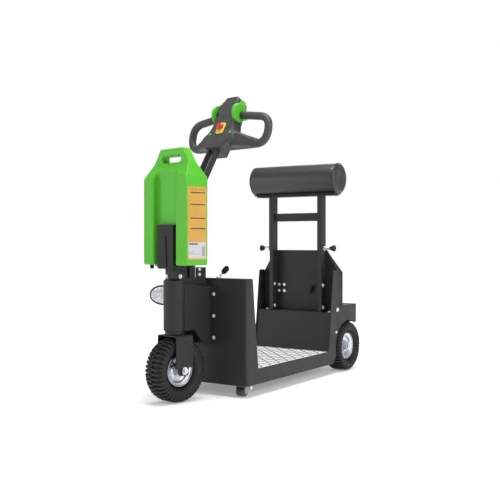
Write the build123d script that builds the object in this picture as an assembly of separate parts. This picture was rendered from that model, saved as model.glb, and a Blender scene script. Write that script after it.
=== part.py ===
from build123d import *
import math
import os

# Stand-on electric tow tractor. Millimetres, +Z up. The front faces -Y and the vehicle's left is +X.
# Pieces are drawn about the vehicle's middle plane. save() moves them sideways by MIDDLE_X, because
# the turned handle reaches further to the left, and the origin is on the floor under the middle of the
# outline. A place called "from the wall" is measured rearward from the front wall's outer face.

# Body
MIDDLE_X = -20.1
FRONT_WALL_Y = -377.9
BODY_HALF_WIDTH = 217.0
BODY_BOTTOM_Z = 50.0
SHEET = 4.0
FRONT_RETURN = 12.0
FRONT_BEND_RADIUS = 8.0
COLUMN_TOP_Z = 494.0
COLUMN_TOP_DEPTH = 50.0
COLUMN_FOOT_DEPTH = 92.0
SKIRT_TOP_Z = 115.5
SKIRT_END = 768.0
DECK_Z = 112.5
DECK_PLATE = 3.0
REAR_PANEL_FOOT = 731.0
REAR_LEG_LEAN = 0.121
REAR_LEG_TOP_Z = 506.0
REAR_LEG_TOP_FRONT = 770.0
REAR_BOX_TOP_Z = 300.0
BACK_PLATE_FROM_WALL = 820.0

# Rear housing and axle
HOUSING_TOP_Z = 332.0
HOUSING_BACK = 1021.0
HOUSING_FRONT_FOOT_Z = 203.0
HOUSING_SKIRT_Z = 236.0
APRON_FOOT_Z = 135.0
HOUSING_SHEET = 3.0
AXLE_FROM_WALL = 928.0
AXLE_RADIUS = 10.0
CARRIER_PLATE = 6.0
CARRIER_HALF = 118.0

# Wheels
FRONT_TYRE_RADIUS = 130.0
REAR_TYRE_RADIUS = 123.0
TYRE_WIDTH = 94.0
LUG_COUNT = 42
LUG_HEIGHT = 6.0
LUG_LENGTH = 11.5
BEAD_RADIUS = 54.0
BEAD_HALF_WIDTH = 18.0
FLANGE_RADIUS = 66.5
FLANGE_PLACE = 30.0
HUB_RADIUS = 21.0
HUB_HALF_LENGTH = 38.0
REAR_WHEEL_X = 182.0
ARCH_CLEARANCE = 7.0
RUNNING_CLEARANCE = 0.05

# Steering head
STEER_AXIS_FROM_WALL = -202.0
STEER_AT_REST = 9.4
FRONT_TRAIL = 7.0
HEAD_TUBE_RADIUS = 43.0
HEAD_TUBE_BOTTOM_Z = 288.0
HEAD_TUBE_TOP_Z = 493.0
BEARING_RADIUS = 37.0
STEM_RADIUS = 20.0
FORK_INSIDE = 52.5
FORK_PLATE = 5.0
FORK_WIDTH = 90.0
FORK_TOP_Z = 272.0
FORK_BLADE_END_Z = 141.0
BRACKET_HALF = 38.0
BRACKET_FLANGE = 28.0
BRACKET_SHEET = 5.0
BRACKET_BOTTOM_Z = 217.0
BRACKET_TUBE_BOTTOM_Z = 286.0
BRACKET_WALL_TOP_Z = 461.0
BRACKET_TUBE_TOP_Z = 476.0

# Battery and the tower that holds it
BATTERY_WIDTH = 258.0
BATTERY_FRONT_V = -53.0
BATTERY_BACK_V = 66.0
BATTERY_BOTTOM_Z = 554.0
BATTERY_SHOULDER_Z = 905.0
BATTERY_GRIP_Z = 965.0
BATTERY_TOP_Z = 1026.0
BATTERY_GRIP_WIDTH = 210.0
BATTERY_TOP_WIDTH = 134.0
GRIP_DEPTH = 44.0
RECESS_WIDTH = 132.0
RECESS_DEPTH = 24.0
RECESS_TOP_Z = 935.0
TOWER_WIDTH = 97.0
TOWER_FRONT_V = -48.0
TOWER_TOP_Z = 716.0
TOWER_FOOT_Z = 539.0

# Tiller arm and control head
YOKE_SIZE = 50.0
YOKE_TOP_Z = 549.0
ARM_FOOT_V = 62.0
ARM_FOOT_BACK_V = 95.0
ARM_FOOT_TOP_Z = 553.0
ARM_V = 82.0
ARM_BEND_Z = 790.0
ARM_LEAN = 30.4
ARM_BAR_DEPTH = 26.0
ARM_BAR_THICKNESS = 9.0
ARM_BAR_PLACE = 21.0
HEAD_FOOT_V = 227.0
HEAD_LENGTH = 277.0
BOSS_RADIUS = 36.0
BOSS_HALF = 50.0
BOSS_N = -5.0
BOSS_T = 188.0
THUMB_WHEEL_RADIUS = 42.0
THUMB_WHEEL_WIDTH = 15.0
LOOP_TUBE_RADIUS = 17.0
LOOP_BACKSET = 63.0
LOOP_FOOT_T = 48.0
LOOP_TILT = 20.4
WING_THICKNESS = 32.0

# Back-rest
BACK_PLATE_TOP_Z = 607.0
BACK_PLATE_TOP_HALF = 152.0
BACK_SHOULDER_Z = 498.0
BACK_FLANGE = 12.0
HOOD_INSET = 4.3
COVER_BACK_FROM_WALL = 879.0
COVER_SHEET = 3.0
RAIL_X = 141.0
RAIL_WIDTH = 19.4
RAIL_DEPTH = 39.4
RAIL_FROM_WALL = 787.0
RAIL_TOP_Z = 740.0
FRAME_TUBE_WIDTH = 25.0
FRAME_TUBE_DEPTH = 45.0
FRAME_TUBE_WALL = 2.5
FRAME_FOOT_Z = 603.0
CROSSBAR_BOTTOM_Z = 753.0
CROSSBAR_TOP_Z = 794.0
PAD_PLATE_Z = 877.0
PAD_RADIUS = 79.0
PAD_HALF_LENGTH = 249.0
PLUNGER_Z = 617.0

# Anti-tip rollers
ROLLER_RADIUS = 19.0
ROLLER_Z = 22.0
ROLLER_FROM_WALL = 37.0
ROLLER_X = 171.0
ROLLER_WIDTH = 40.0

# Headlamp
LAMP_X = -146.0
LAMP_Z = 421.0
LAMP_FRONT = -100.0
LAMP_HALF_WIDTH = 73.0
LAMP_HALF_HEIGHT = 43.0
LAMP_DEPTH = 42.0

# Tow jaw
JAW_REACH = 64.0
JAW_Z = 285.0
JAW_HOLE_RADIUS = 11.0
JAW_HOLE_FROM_HOUSING = 42.0

os.makedirs("parts", exist_ok=True)
INSIDE = BODY_HALF_WIDTH - SHEET
AXLE_Y = FRONT_WALL_Y + AXLE_FROM_WALL
LEAN = math.radians(ARM_LEAN)


def wall_y(from_wall):
    """Row Y of a place measured rearward from the front wall."""
    return FRONT_WALL_Y + from_wall


def block(x0, x1, y0, y1, z0, z1):
    """A straight block between two corners, given in either order."""
    return Pos((x0 + x1) / 2, (y0 + y1) / 2, (z0 + z1) / 2) * Box(abs(x1 - x0), abs(y1 - y0), abs(z1 - z0))


def side_sheet(outline, x0, x1, corner=0.0, square_y=None):
    """A plate standing fore and aft: a (y, z) outline between two x places.

    Its corners are rounded, except those that stand at the place square_y.
    """
    face = make_face(Polyline(*outline, close=True))
    if corner:
        rounded = [point for point in face.vertices() if square_y is None or abs(point.X - square_y) > 0.1]
        face = fillet(rounded, corner)
    return extrude(Plane.YZ.offset(min(x0, x1)) * face, abs(x1 - x0))


def cross_sheet(outline, y0, y1, corner=0.0):
    """A plate standing across the vehicle: an (x, z) outline between two y places."""
    face = make_face(Polyline(*outline, close=True))
    if corner:
        face = fillet(face.vertices(), corner)
    plane = Plane(origin=(0, y1, 0), x_dir=(1, 0, 0), z_dir=(0, -1, 0))
    return extrude(plane * face, y1 - y0)


def mirrored(half_outline):
    """Close an outline given for the +x half, from its foot up to its top."""
    return half_outline + [(-x, z) for x, z in reversed(half_outline)]


def rod_x(radius, x0, x1, y, z):
    """A round bar across the vehicle."""
    return Pos((x0 + x1) / 2, y, z) * Rot(0, 90, 0) * Cylinder(radius, abs(x1 - x0))


def rod_y(radius, x, y0, y1, z):
    """A round bar fore and aft."""
    return Pos(x, (y0 + y1) / 2, z) * Rot(90, 0, 0) * Cylinder(radius, y1 - y0)


def rod_z(radius, x, y, z0, z1):
    """An upright round bar."""
    return Pos(x, y, (z0 + z1) / 2) * Cylinder(radius, z1 - z0)


def save(name, *solids):
    """Write one node, keeping its solids apart."""
    placed = [Pos(MIDDLE_X, 0, 0) * solid for solid in solids]
    export_step(placed[0] if len(placed) == 1 else Compound(children=placed), f"parts/{name}.step")


def steered(shape):
    """Turn a piece, built about the steering axis, to the angle at which the machine stands."""
    return Pos(0, wall_y(STEER_AXIS_FROM_WALL), 0) * Rot(0, 0, -STEER_AT_REST) * shape


def rear_leg_front(z):
    """Distance from the wall to the sloping front edge of the rear leg at a height."""
    return REAR_LEG_TOP_FRONT - REAR_LEG_LEAN * (REAR_LEG_TOP_Z - z)


# Side plates: front leg, low skirt and rear leg cut from one sheet
SKIRT_CHAMFER = BACK_PLATE_FROM_WALL - SKIRT_END
side_outline = [
    (wall_y(FRONT_RETURN), BODY_BOTTOM_Z),
    (wall_y(FRONT_RETURN), COLUMN_TOP_Z),
    (wall_y(COLUMN_TOP_DEPTH), COLUMN_TOP_Z),
    (wall_y(COLUMN_FOOT_DEPTH), SKIRT_TOP_Z),
    (wall_y(rear_leg_front(SKIRT_TOP_Z)), SKIRT_TOP_Z),
    (wall_y(REAR_LEG_TOP_FRONT), REAR_LEG_TOP_Z),
    (wall_y(BACK_PLATE_FROM_WALL), REAR_LEG_TOP_Z),
    (wall_y(BACK_PLATE_FROM_WALL), BODY_BOTTOM_Z + SKIRT_CHAMFER),
    (wall_y(SKIRT_END), BODY_BOTTOM_Z),
]
ARCH_RADIUS = REAR_TYRE_RADIUS + ARCH_CLEARANCE
arch_cut = rod_x(ARCH_RADIUS, -300, 300, AXLE_Y, REAR_TYRE_RADIUS)
for name, side in (("left", 1), ("right", -1)):
    plate = side_sheet(side_outline, side * INSIDE, side * BODY_HALF_WIDTH, 8, wall_y(FRONT_RETURN))
    save(f"side_plate_{name}", plate - arch_cut)

# Front wall: one sheet whose two edges are bent back round the corners, up to the side plates
front_wall = block(-BODY_HALF_WIDTH, BODY_HALF_WIDTH, wall_y(0), wall_y(FRONT_RETURN), BODY_BOTTOM_Z, COLUMN_TOP_Z)
front_wall = fillet(front_wall.edges().filter_by(Axis.Z).group_by(Axis.Y)[0], FRONT_BEND_RADIUS)
front_wall -= block(-INSIDE, INSIDE, wall_y(SHEET), wall_y(FRONT_RETURN + 1), BODY_BOTTOM_Z - 1, COLUMN_TOP_Z + 1)
save("front_wall", front_wall)

# Rear wall and top of the front column, one folded sheet
column_fold = [
    (wall_y(SHEET), COLUMN_TOP_Z),
    (wall_y(COLUMN_TOP_DEPTH), COLUMN_TOP_Z),
    (wall_y(COLUMN_FOOT_DEPTH), SKIRT_TOP_Z),
    (wall_y(COLUMN_FOOT_DEPTH), DECK_Z),
    (wall_y(COLUMN_FOOT_DEPTH - SHEET), DECK_Z),
    (wall_y(COLUMN_FOOT_DEPTH - SHEET), SKIRT_TOP_Z),
    (wall_y(COLUMN_TOP_DEPTH - SHEET), COLUMN_TOP_Z - SHEET),
    (wall_y(SHEET), COLUMN_TOP_Z - SHEET),
]
save("column_cover", side_sheet(column_fold, -INSIDE, INSIDE))

# Deck: folded steel tray with ribs, under an aluminium tread plate
TRAY_TOP = DECK_Z - DECK_PLATE
TRAY_END = AXLE_FROM_WALL - ARCH_RADIUS - SHEET
RIB_PLACES = (-INSIDE + SHEET / 2, -130, 0, 130, INSIDE - SHEET / 2)
tray = block(-INSIDE, INSIDE, wall_y(SHEET), wall_y(TRAY_END), TRAY_TOP - SHEET, TRAY_TOP)
for rib_x in RIB_PLACES:
    tray += block(rib_x - SHEET / 2, rib_x + SHEET / 2, wall_y(SHEET), wall_y(SKIRT_END),
                  BODY_BOTTOM_Z + 8, TRAY_TOP - SHEET)
save("deck_tray", tray)
save("tread_plate", block(-INSIDE, INSIDE, wall_y(SHEET), wall_y(REAR_PANEL_FOOT), TRAY_TOP, DECK_Z))

# Rear box: sloping front panel and flat top in one sheet, ending at the back-rest plate
panel_top = REAR_PANEL_FOOT + REAR_LEG_LEAN * (REAR_BOX_TOP_Z - DECK_Z)
rear_fold = [
    (wall_y(REAR_PANEL_FOOT), TRAY_TOP),
    (wall_y(panel_top), REAR_BOX_TOP_Z),
    (wall_y(BACK_PLATE_FROM_WALL), REAR_BOX_TOP_Z),
    (wall_y(BACK_PLATE_FROM_WALL), REAR_BOX_TOP_Z - SHEET),
    (wall_y(panel_top + SHEET), REAR_BOX_TOP_Z - SHEET),
    (wall_y(REAR_PANEL_FOOT + SHEET), TRAY_TOP),
]
save("rear_box", side_sheet(rear_fold, -INSIDE, INSIDE))

# Rear housing: roof, back and side skirts, cut by the wheel arches, with an apron between the wheels
roof_y = wall_y(BACK_PLATE_FROM_WALL + SHEET)
housing = block(-BODY_HALF_WIDTH, BODY_HALF_WIDTH, roof_y, wall_y(HOUSING_BACK),
                HOUSING_FRONT_FOOT_Z, HOUSING_TOP_Z)
housing = fillet(housing.edges().filter_by(Axis.X).group_by(Axis.Z)[-1].sort_by(Axis.Y)[-1], 6)
hollow = BODY_HALF_WIDTH - HOUSING_SHEET
housing -= block(-hollow, hollow, roof_y - 1, wall_y(HOUSING_BACK - HOUSING_SHEET),
                 HOUSING_FRONT_FOOT_Z - 1, HOUSING_TOP_Z - HOUSING_SHEET)
housing -= block(-300, 300, AXLE_Y, wall_y(HOUSING_BACK + 1), HOUSING_FRONT_FOOT_Z - 1, HOUSING_SKIRT_Z)
housing -= arch_cut
housing += block(-CARRIER_HALF, CARRIER_HALF, wall_y(HOUSING_BACK - HOUSING_SHEET), wall_y(HOUSING_BACK),
                 APRON_FOOT_Z, HOUSING_SKIRT_Z)
save("rear_housing", housing)

# Axle carrier: two plates under the housing roof, with the drive block between them
bearing_foot = REAR_TYRE_RADIUS - 30
carrier_outline = [
    (roof_y, HOUSING_TOP_Z - HOUSING_SHEET), (roof_y, 200), (AXLE_Y - 34, bearing_foot),
    (AXLE_Y + 34, bearing_foot), (wall_y(HOUSING_BACK - HOUSING_SHEET), 250),
    (wall_y(HOUSING_BACK - HOUSING_SHEET), HOUSING_TOP_Z - HOUSING_SHEET)]
axle_bore = rod_x(AXLE_RADIUS, -300, 300, AXLE_Y, REAR_TYRE_RADIUS)
carriers = []
for side in (-1, 1):
    plate = side_sheet(carrier_outline, side * CARRIER_HALF, side * (CARRIER_HALF + CARRIER_PLATE))
    carriers.append(plate - axle_bore)
save("axle_carrier", *carriers)
drive = block(-CARRIER_HALF, CARRIER_HALF, AXLE_Y - 62, AXLE_Y + 62, 82, 240)
save("drive_unit", fillet(drive.edges().filter_by(Axis.X), 20) - axle_bore)
axle_half = REAR_WHEEL_X + HUB_HALF_LENGTH + 5
save("rear_axle", rod_x(AXLE_RADIUS, -axle_half, axle_half, AXLE_Y, REAR_TYRE_RADIUS))


def turned(stations, sides):
    """A many-sided turned form about the X axis, through (x, radius) stations."""
    rings = [Plane.YZ.offset(x) * RegularPolygon(radius, sides) for x, radius in stations]
    return loft(rings, ruled=True)


def tyre(radius):
    """Pneumatic tyre about the X axis, full size at the tips of its cross lugs."""
    half = TYRE_WIDTH / 2
    ground = radius - LUG_HEIGHT
    body = turned([(-half, radius - 32), (-half + 4, radius - 14), (-half + 16, ground), (half - 16, ground),
                   (half - 4, radius - 14), (half, radius - 32)], LUG_COUNT)
    for side in (-1, 1):
        dish = turned([(side * (half + 1), radius - 34), (side * (half - 6), FLANGE_RADIUS + 14),
                       (side * BEAD_HALF_WIDTH, FLANGE_RADIUS + 0.5)], LUG_COUNT)
        body -= dish
    lug_outline = [(-half + 2, radius - 22), (-half + 3, radius - 9), (-half + 12, radius), (half - 12, radius),
                   (half - 3, radius - 9), (half - 2, radius - 22)]
    lug_face = make_face(Polyline(*lug_outline, close=True))
    lug = extrude(Plane.XZ.offset(-LUG_LENGTH / 2) * lug_face, LUG_LENGTH)
    body += [Rot(360 / LUG_COUNT * number, 0, 0) * lug for number in range(LUG_COUNT)]
    return body - rod_x(BEAD_RADIUS, -half, half, 0, 0)


def rim():
    """Pressed steel rim about the X axis: lips, well, disc and hub."""
    seat = BEAD_RADIUS - 0.3
    lip = BEAD_HALF_WIDTH + 0.5
    sides = LUG_COUNT
    solid = turned([(-lip, seat), (lip, seat)], sides)
    for side in (-1, 1):
        solid += turned([(side * lip, FLANGE_RADIUS), (side * FLANGE_PLACE, FLANGE_RADIUS)], sides)
    solid -= turned([(-FLANGE_PLACE - 1, FLANGE_RADIUS - 4), (-lip - 4, FLANGE_RADIUS - 4), (-lip, seat - 4), (4, seat - 4)],
                    sides)
    solid -= turned([(FLANGE_PLACE + 1, FLANGE_RADIUS - 4), (lip + 4, FLANGE_RADIUS - 4), (lip, seat - 4), (8, seat - 4)],
                    sides)
    solid += turned([(-HUB_HALF_LENGTH, HUB_RADIUS), (HUB_HALF_LENGTH, HUB_RADIUS)], 24)
    return solid - rod_x(AXLE_RADIUS + RUNNING_CLEARANCE, -60, 60, 0, 0)


for name, side in (("left", 1), ("right", -1)):
    place = Pos(side * REAR_WHEEL_X, AXLE_Y, REAR_TYRE_RADIUS)
    facing = Rot(0, 0, 0 if side > 0 else 180)
    save(f"tyre_rear_{name}", place * tyre(REAR_TYRE_RADIUS))
    save(f"rim_rear_{name}", place * facing * rim())
front_place = Pos(0, FRONT_TRAIL, FRONT_TYRE_RADIUS)
save("tyre_front", steered(front_place * tyre(FRONT_TYRE_RADIUS)))
save("rim_front", steered(front_place * rim()))

# Fork: one folded sheet, crown and two blades, with the axle holders inside the blades
fork_outline = mirrored([
    (FORK_INSIDE, FORK_BLADE_END_Z), (FORK_INSIDE + FORK_PLATE, FORK_BLADE_END_Z),
    (FORK_INSIDE + FORK_PLATE, FORK_TOP_Z)])
fork_half = FORK_WIDTH / 2
fork = cross_sheet(fork_outline, FRONT_TRAIL - fork_half, FRONT_TRAIL + fork_half)
fork -= block(-FORK_INSIDE, FORK_INSIDE, -100, 100, FORK_BLADE_END_Z - 1, FORK_TOP_Z - FORK_PLATE)
crown_edges = fork.edges().filter_by(Axis.Y).group_by(Axis.Z)[-1]
save("fork", steered(fillet(crown_edges, 9)))
HOLDER_TOP_Z = 190.0
HOLDER_WIDTH = 52.0
HOLDER_PLATE = 5.0
front_bore = rod_x(AXLE_RADIUS, -90, 90, FRONT_TRAIL, FRONT_TYRE_RADIUS)
holders = []
for side in (-1, 1):
    holder = side_sheet([
        (FRONT_TRAIL - HOLDER_WIDTH / 2, HOLDER_TOP_Z), (FRONT_TRAIL - HOLDER_WIDTH / 2, FRONT_TYRE_RADIUS - 20),
        (FRONT_TRAIL + HOLDER_WIDTH / 2, FRONT_TYRE_RADIUS - 20), (FRONT_TRAIL + HOLDER_WIDTH / 2, HOLDER_TOP_Z),
    ], side * (FORK_INSIDE - HOLDER_PLATE), side * FORK_INSIDE, 10)
    holders.append(steered(holder - front_bore))
save("axle_holders", *holders)
axle_reach = FORK_INSIDE + FORK_PLATE + 10
save("front_axle", steered(rod_x(AXLE_RADIUS, -axle_reach, axle_reach, FRONT_TRAIL, FRONT_TYRE_RADIUS)))

# Head tube with its lower bearing ring, and the stem that turns in it
head_tube = rod_z(HEAD_TUBE_RADIUS, 0, 0, HEAD_TUBE_BOTTOM_Z, HEAD_TUBE_TOP_Z)
head_tube = chamfer(head_tube.edges().filter_by(GeomType.CIRCLE), 2)
head_tube += rod_z(BEARING_RADIUS, 0, 0, FORK_TOP_Z + 1, HEAD_TUBE_BOTTOM_Z)
head_tube -= rod_z(STEM_RADIUS + RUNNING_CLEARANCE, 0, 0, FORK_TOP_Z - 5, HEAD_TUBE_TOP_Z + 5)
save("head_tube", Pos(0, wall_y(STEER_AXIS_FROM_WALL), 0) * head_tube)
YOKE_FOOT_Z = HEAD_TUBE_TOP_Z + 5
save("steering_stem", steered(rod_z(STEM_RADIUS, 0, 0, FORK_TOP_Z, YOKE_FOOT_Z)))

# Folded box that carries the head tube, bolted to the front wall by its flanges
tube_y = wall_y(STEER_AXIS_FROM_WALL)
bracket_side = [
    (tube_y, BRACKET_TUBE_BOTTOM_Z), (wall_y(-112), BRACKET_TUBE_BOTTOM_Z), (wall_y(-45), BRACKET_BOTTOM_Z),
    (wall_y(0), BRACKET_BOTTOM_Z), (wall_y(0), BRACKET_WALL_TOP_Z), (tube_y, BRACKET_TUBE_TOP_Z)]
bracket = side_sheet(bracket_side, -BRACKET_HALF, BRACKET_HALF)
core = side_sheet([
    (tube_y - 1, BRACKET_BOTTOM_Z - 1), (wall_y(1), BRACKET_BOTTOM_Z - 1),
    (wall_y(1), BRACKET_WALL_TOP_Z - BRACKET_SHEET), (tube_y - 1, BRACKET_TUBE_TOP_Z - BRACKET_SHEET),
], -BRACKET_HALF + BRACKET_SHEET, BRACKET_HALF - BRACKET_SHEET)
bracket -= core
for side in (-1, 1):
    bracket += block(side * (BRACKET_HALF - BRACKET_SHEET), side * (BRACKET_HALF + BRACKET_FLANGE),
                     wall_y(-BRACKET_SHEET), wall_y(0), BRACKET_BOTTOM_Z, BRACKET_WALL_TOP_Z)
bracket -= Pos(0, tube_y, 0) * rod_z(HEAD_TUBE_RADIUS, 0, 0, 200, 600)
save("head_bracket", bracket)

# Yoke on the stem: an upright block with a tongue behind it that carries the arm foot
yoke = block(-YOKE_SIZE / 2, YOKE_SIZE / 2, -YOKE_SIZE / 2, YOKE_SIZE / 2, YOKE_FOOT_Z, YOKE_TOP_Z)
yoke += block(-14, 14, YOKE_SIZE / 2, ARM_FOOT_V, YOKE_FOOT_Z, YOKE_TOP_Z)
save("yoke", steered(yoke))

# Battery tower: foot plate under the battery and a front tower that fills the battery's recess
recess_back_v = BATTERY_FRONT_V + RECESS_DEPTH
tower = block(-TOWER_WIDTH / 2, TOWER_WIDTH / 2, TOWER_FRONT_V, recess_back_v - 0.3, TOWER_FOOT_Z, TOWER_TOP_Z)
tower = fillet(tower.edges().filter_by(Axis.Y).group_by(Axis.Z)[0], 10)
foot_plate = block(-62, 62, TOWER_FRONT_V, BATTERY_BACK_V - 12, YOKE_TOP_Z, BATTERY_BOTTOM_Z - 0.3)
save("battery_tower", steered(tower + foot_plate))

# Battery: front and side outlines crossed, with the front recess and the hand slot
half_width = BATTERY_WIDTH / 2
front_outline = mirrored([
    (half_width, BATTERY_BOTTOM_Z), (half_width, BATTERY_SHOULDER_Z), (BATTERY_GRIP_WIDTH / 2, BATTERY_GRIP_Z),
    (BATTERY_TOP_WIDTH / 2, BATTERY_TOP_Z)])
middle_v = (BATTERY_FRONT_V + BATTERY_BACK_V) / 2
grip_front = middle_v - GRIP_DEPTH / 2
grip_back = middle_v + GRIP_DEPTH / 2
battery_side = [
    (BATTERY_FRONT_V, BATTERY_BOTTOM_Z), (BATTERY_FRONT_V, BATTERY_SHOULDER_Z), (grip_front, BATTERY_GRIP_Z),
    (grip_front, BATTERY_TOP_Z), (grip_back, BATTERY_TOP_Z), (grip_back, BATTERY_GRIP_Z),
    (BATTERY_BACK_V, BATTERY_SHOULDER_Z), (BATTERY_BACK_V, BATTERY_BOTTOM_Z)]
battery = cross_sheet(front_outline, -200, 200) & side_sheet(battery_side, -200, 200)
recess = block(-RECESS_WIDTH / 2, RECESS_WIDTH / 2, -200, recess_back_v, BATTERY_BOTTOM_Z - 1, RECESS_TOP_Z)
battery -= chamfer(recess.edges().filter_by(Axis.Y).group_by(Axis.Z)[-1], 16)
SLOT_FOOT_Z = 968.0
SLOT_TOP_Z = 998.0
SLOT_HALF = 55.0
slot = block(-SLOT_HALF, SLOT_HALF, -200, 200, SLOT_FOOT_Z, SLOT_TOP_Z)
battery -= fillet(slot.edges().filter_by(Axis.Y), 12)
save("battery", steered(battery))

# Tiller arm: two bent flat bars
arm_top_z = ARM_BEND_Z + (HEAD_FOOT_V - ARM_V) / math.tan(LEAN)
half_bar = ARM_BAR_DEPTH / 2
bend_shift = half_bar * math.tan(LEAN / 2)
arm_outline = [
    (ARM_V - half_bar, ARM_FOOT_TOP_Z), (ARM_V - half_bar, ARM_BEND_Z + bend_shift),
    (HEAD_FOOT_V - half_bar * math.cos(LEAN), arm_top_z + half_bar * math.sin(LEAN)),
    (HEAD_FOOT_V + half_bar * math.cos(LEAN), arm_top_z - half_bar * math.sin(LEAN)),
    (ARM_V + half_bar, ARM_BEND_Z - bend_shift), (ARM_V + half_bar, ARM_FOOT_TOP_Z)]
bars = []
for side in (-1, 1):
    near = side * (ARM_BAR_PLACE - ARM_BAR_THICKNESS / 2)
    far = side * (ARM_BAR_PLACE + ARM_BAR_THICKNESS / 2)
    bars.append(steered(side_sheet(arm_outline, near, far)))
save("tiller_arm", *bars)
arm_half = ARM_BAR_PLACE + ARM_BAR_THICKNESS / 2
arm_foot = block(-arm_half, arm_half, ARM_FOOT_V, ARM_FOOT_BACK_V, YOKE_FOOT_Z, ARM_FOOT_TOP_Z)
save("arm_foot", steered(fillet(arm_foot.edges().filter_by(Axis.X).group_by(Axis.Z)[0], 8)))

# Control head, drawn in a frame whose z runs up the arm and whose -y is its front face
head_plane = Plane(origin=(0, HEAD_FOOT_V, arm_top_z), x_dir=(1, 0, 0), z_dir=(0, math.sin(LEAN), math.cos(LEAN)))
head_outline = mirrored([
    (46, 0), (60, 45), (75, 75), (72, 118), (50, 150), (38, 182), (33, 255), (22, HEAD_LENGTH)])
head_side = [(-15, 0), (-10, 100), (-28, 200), (-24, HEAD_LENGTH - 8), (-14, HEAD_LENGTH),
             (26, HEAD_LENGTH), (48, 220), (42, 150), (60, 110), (60, 0)]
head = cross_sheet(head_outline, -100, 100) & side_sheet(head_side, -100, 100)
head += rod_x(BOSS_RADIUS, -BOSS_HALF, BOSS_HALF, BOSS_N, BOSS_T)

# Hand loop: one bent tube from the bosses, round both sides and behind the foot of the head,
# where it is moulded into a thick wing
loop_plane = Plane(
    origin=(0, LOOP_BACKSET, LOOP_FOOT_T), x_dir=(1, 0, 0),
    z_dir=(0, -math.cos(math.radians(LOOP_TILT)), -math.sin(math.radians(LOOP_TILT))))
LOOP_CORNERS = [(BOSS_HALF - 18, 150), (224, 128), (222, 20)]
WING_CORNERS = [(100, 4), (165, 8), (165, 32), (100, 60)]
left_half = [(-x, y) for x, y in reversed(LOOP_CORNERS)]
loop_wire = FilletPolyline(*LOOP_CORNERS, *left_half, radius=[50, 50, 50, 50])
loop_path = loop_plane * loop_wire
loop = sweep(Plane(loop_path @ 0, z_dir=loop_path % 0) * RegularPolygon(LOOP_TUBE_RADIUS, 14), path=loop_path)
wing_face = make_face(Polyline(*mirrored(WING_CORNERS), close=True))
loop += extrude(loop_plane.offset(-WING_THICKNESS / 2) * wing_face, WING_THICKNESS)
save("hand_loop", steered(head_plane * (loop - head)))
save("control_head", steered(head_plane * head))
thumbs = []
for side in (-1, 1):
    disc = rod_x(THUMB_WHEEL_RADIUS, side * BOSS_HALF, side * (BOSS_HALF + THUMB_WHEEL_WIDTH), BOSS_N, BOSS_T)
    thumbs.append(steered(head_plane * (disc - loop - head)))
save("thumb_wheels", *thumbs)
BUTTON_T = 110.0
button = rod_y(17, 0, -32, -22, BUTTON_T) + rod_y(10, 0, -22, 0, BUTTON_T)
save("stop_button", steered(head_plane * (button - head)))

# Oval work lamp on a bracket from the front wall, on the vehicle's right
lamp_y = wall_y(LAMP_FRONT)
lamp_plane = Plane(origin=(LAMP_X, lamp_y + LAMP_DEPTH, LAMP_Z), x_dir=(1, 0, 0), z_dir=(0, -1, 0))
lamp = extrude(lamp_plane * Ellipse(LAMP_HALF_WIDTH, LAMP_HALF_HEIGHT), LAMP_DEPTH)
lens_plane = Plane(origin=(LAMP_X, lamp_y, LAMP_Z), x_dir=(1, 0, 0), z_dir=(0, 1, 0))
lens = extrude(lens_plane * Ellipse(LAMP_HALF_WIDTH - 4, LAMP_HALF_HEIGHT - 4), 6)
save("headlamp", lamp - lens)
save("lamp_lens", lens)
lamp_bracket = block(LAMP_X - 20, LAMP_X + 20, lamp_y + LAMP_DEPTH, wall_y(0), LAMP_Z - 3, LAMP_Z + 3)
lamp_bracket += block(LAMP_X - 20, LAMP_X + 20, wall_y(-4), wall_y(0), LAMP_Z - 25, LAMP_Z + 25)
save("lamp_bracket", lamp_bracket)

# Stop tab above the bracket, and the key switch on the column top
TAB_FROM_WALL = -25.0
TAB_TOP_Z = 541.0
tab = block(-27, 27, wall_y(TAB_FROM_WALL), wall_y(TAB_FROM_WALL + 4), BRACKET_WALL_TOP_Z + 8, TAB_TOP_Z)
tab += block(-27, 27, wall_y(TAB_FROM_WALL), wall_y(0), BRACKET_WALL_TOP_Z + 4, BRACKET_WALL_TOP_Z + 8)
save("stop_tab", tab)
KEY_X = 60.0
key = rod_z(11, KEY_X, wall_y(26), COLUMN_TOP_Z, COLUMN_TOP_Z + 8)
key += block(KEY_X - 1.2, KEY_X + 1.2, wall_y(17), wall_y(35), COLUMN_TOP_Z + 8, COLUMN_TOP_Z + 40)
save("key_switch", key)

# Anti-tip rollers under the front corners
roller_y = wall_y(ROLLER_FROM_WALL)
PIN_RADIUS = 5.0
for name, side in (("left", 1), ("right", -1)):
    near = side * (ROLLER_X - ROLLER_WIDTH / 2 - 1)
    far = side * (ROLLER_X + ROLLER_WIDTH / 2 + 1)
    fork_top = block(near - side * 3, far + side * 3, roller_y - 14, roller_y + 14, BODY_BOTTOM_Z, BODY_BOTTOM_Z + 4)
    cheeks = [block(x, x + 3 * step, roller_y - 12, roller_y + 12, ROLLER_Z - 9, BODY_BOTTOM_Z)
              for x, step in ((near, -side), (far, side))]
    pin = rod_x(PIN_RADIUS, near - side * 3, far + side * 3, roller_y, ROLLER_Z)
    stay = block(far, side * BODY_HALF_WIDTH, roller_y - 14, roller_y + 14, BODY_BOTTOM_Z - 4, BODY_BOTTOM_Z)
    lug = block(side * INSIDE, side * BODY_HALF_WIDTH, roller_y - 10, roller_y + 10, BODY_BOTTOM_Z - 16, BODY_BOTTOM_Z)
    save(f"roller_bracket_{name}", fork_top + cheeks[0] + cheeks[1] + pin + stay + lug)
    roller = rod_x(ROLLER_RADIUS, near + side, far - side, roller_y, ROLLER_Z)
    bore = rod_x(PIN_RADIUS + RUNNING_CLEARANCE, -300, 300, roller_y, ROLLER_Z)
    save(f"roller_{name}", chamfer(roller.edges().filter_by(GeomType.CIRCLE), 3) - bore)

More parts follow.
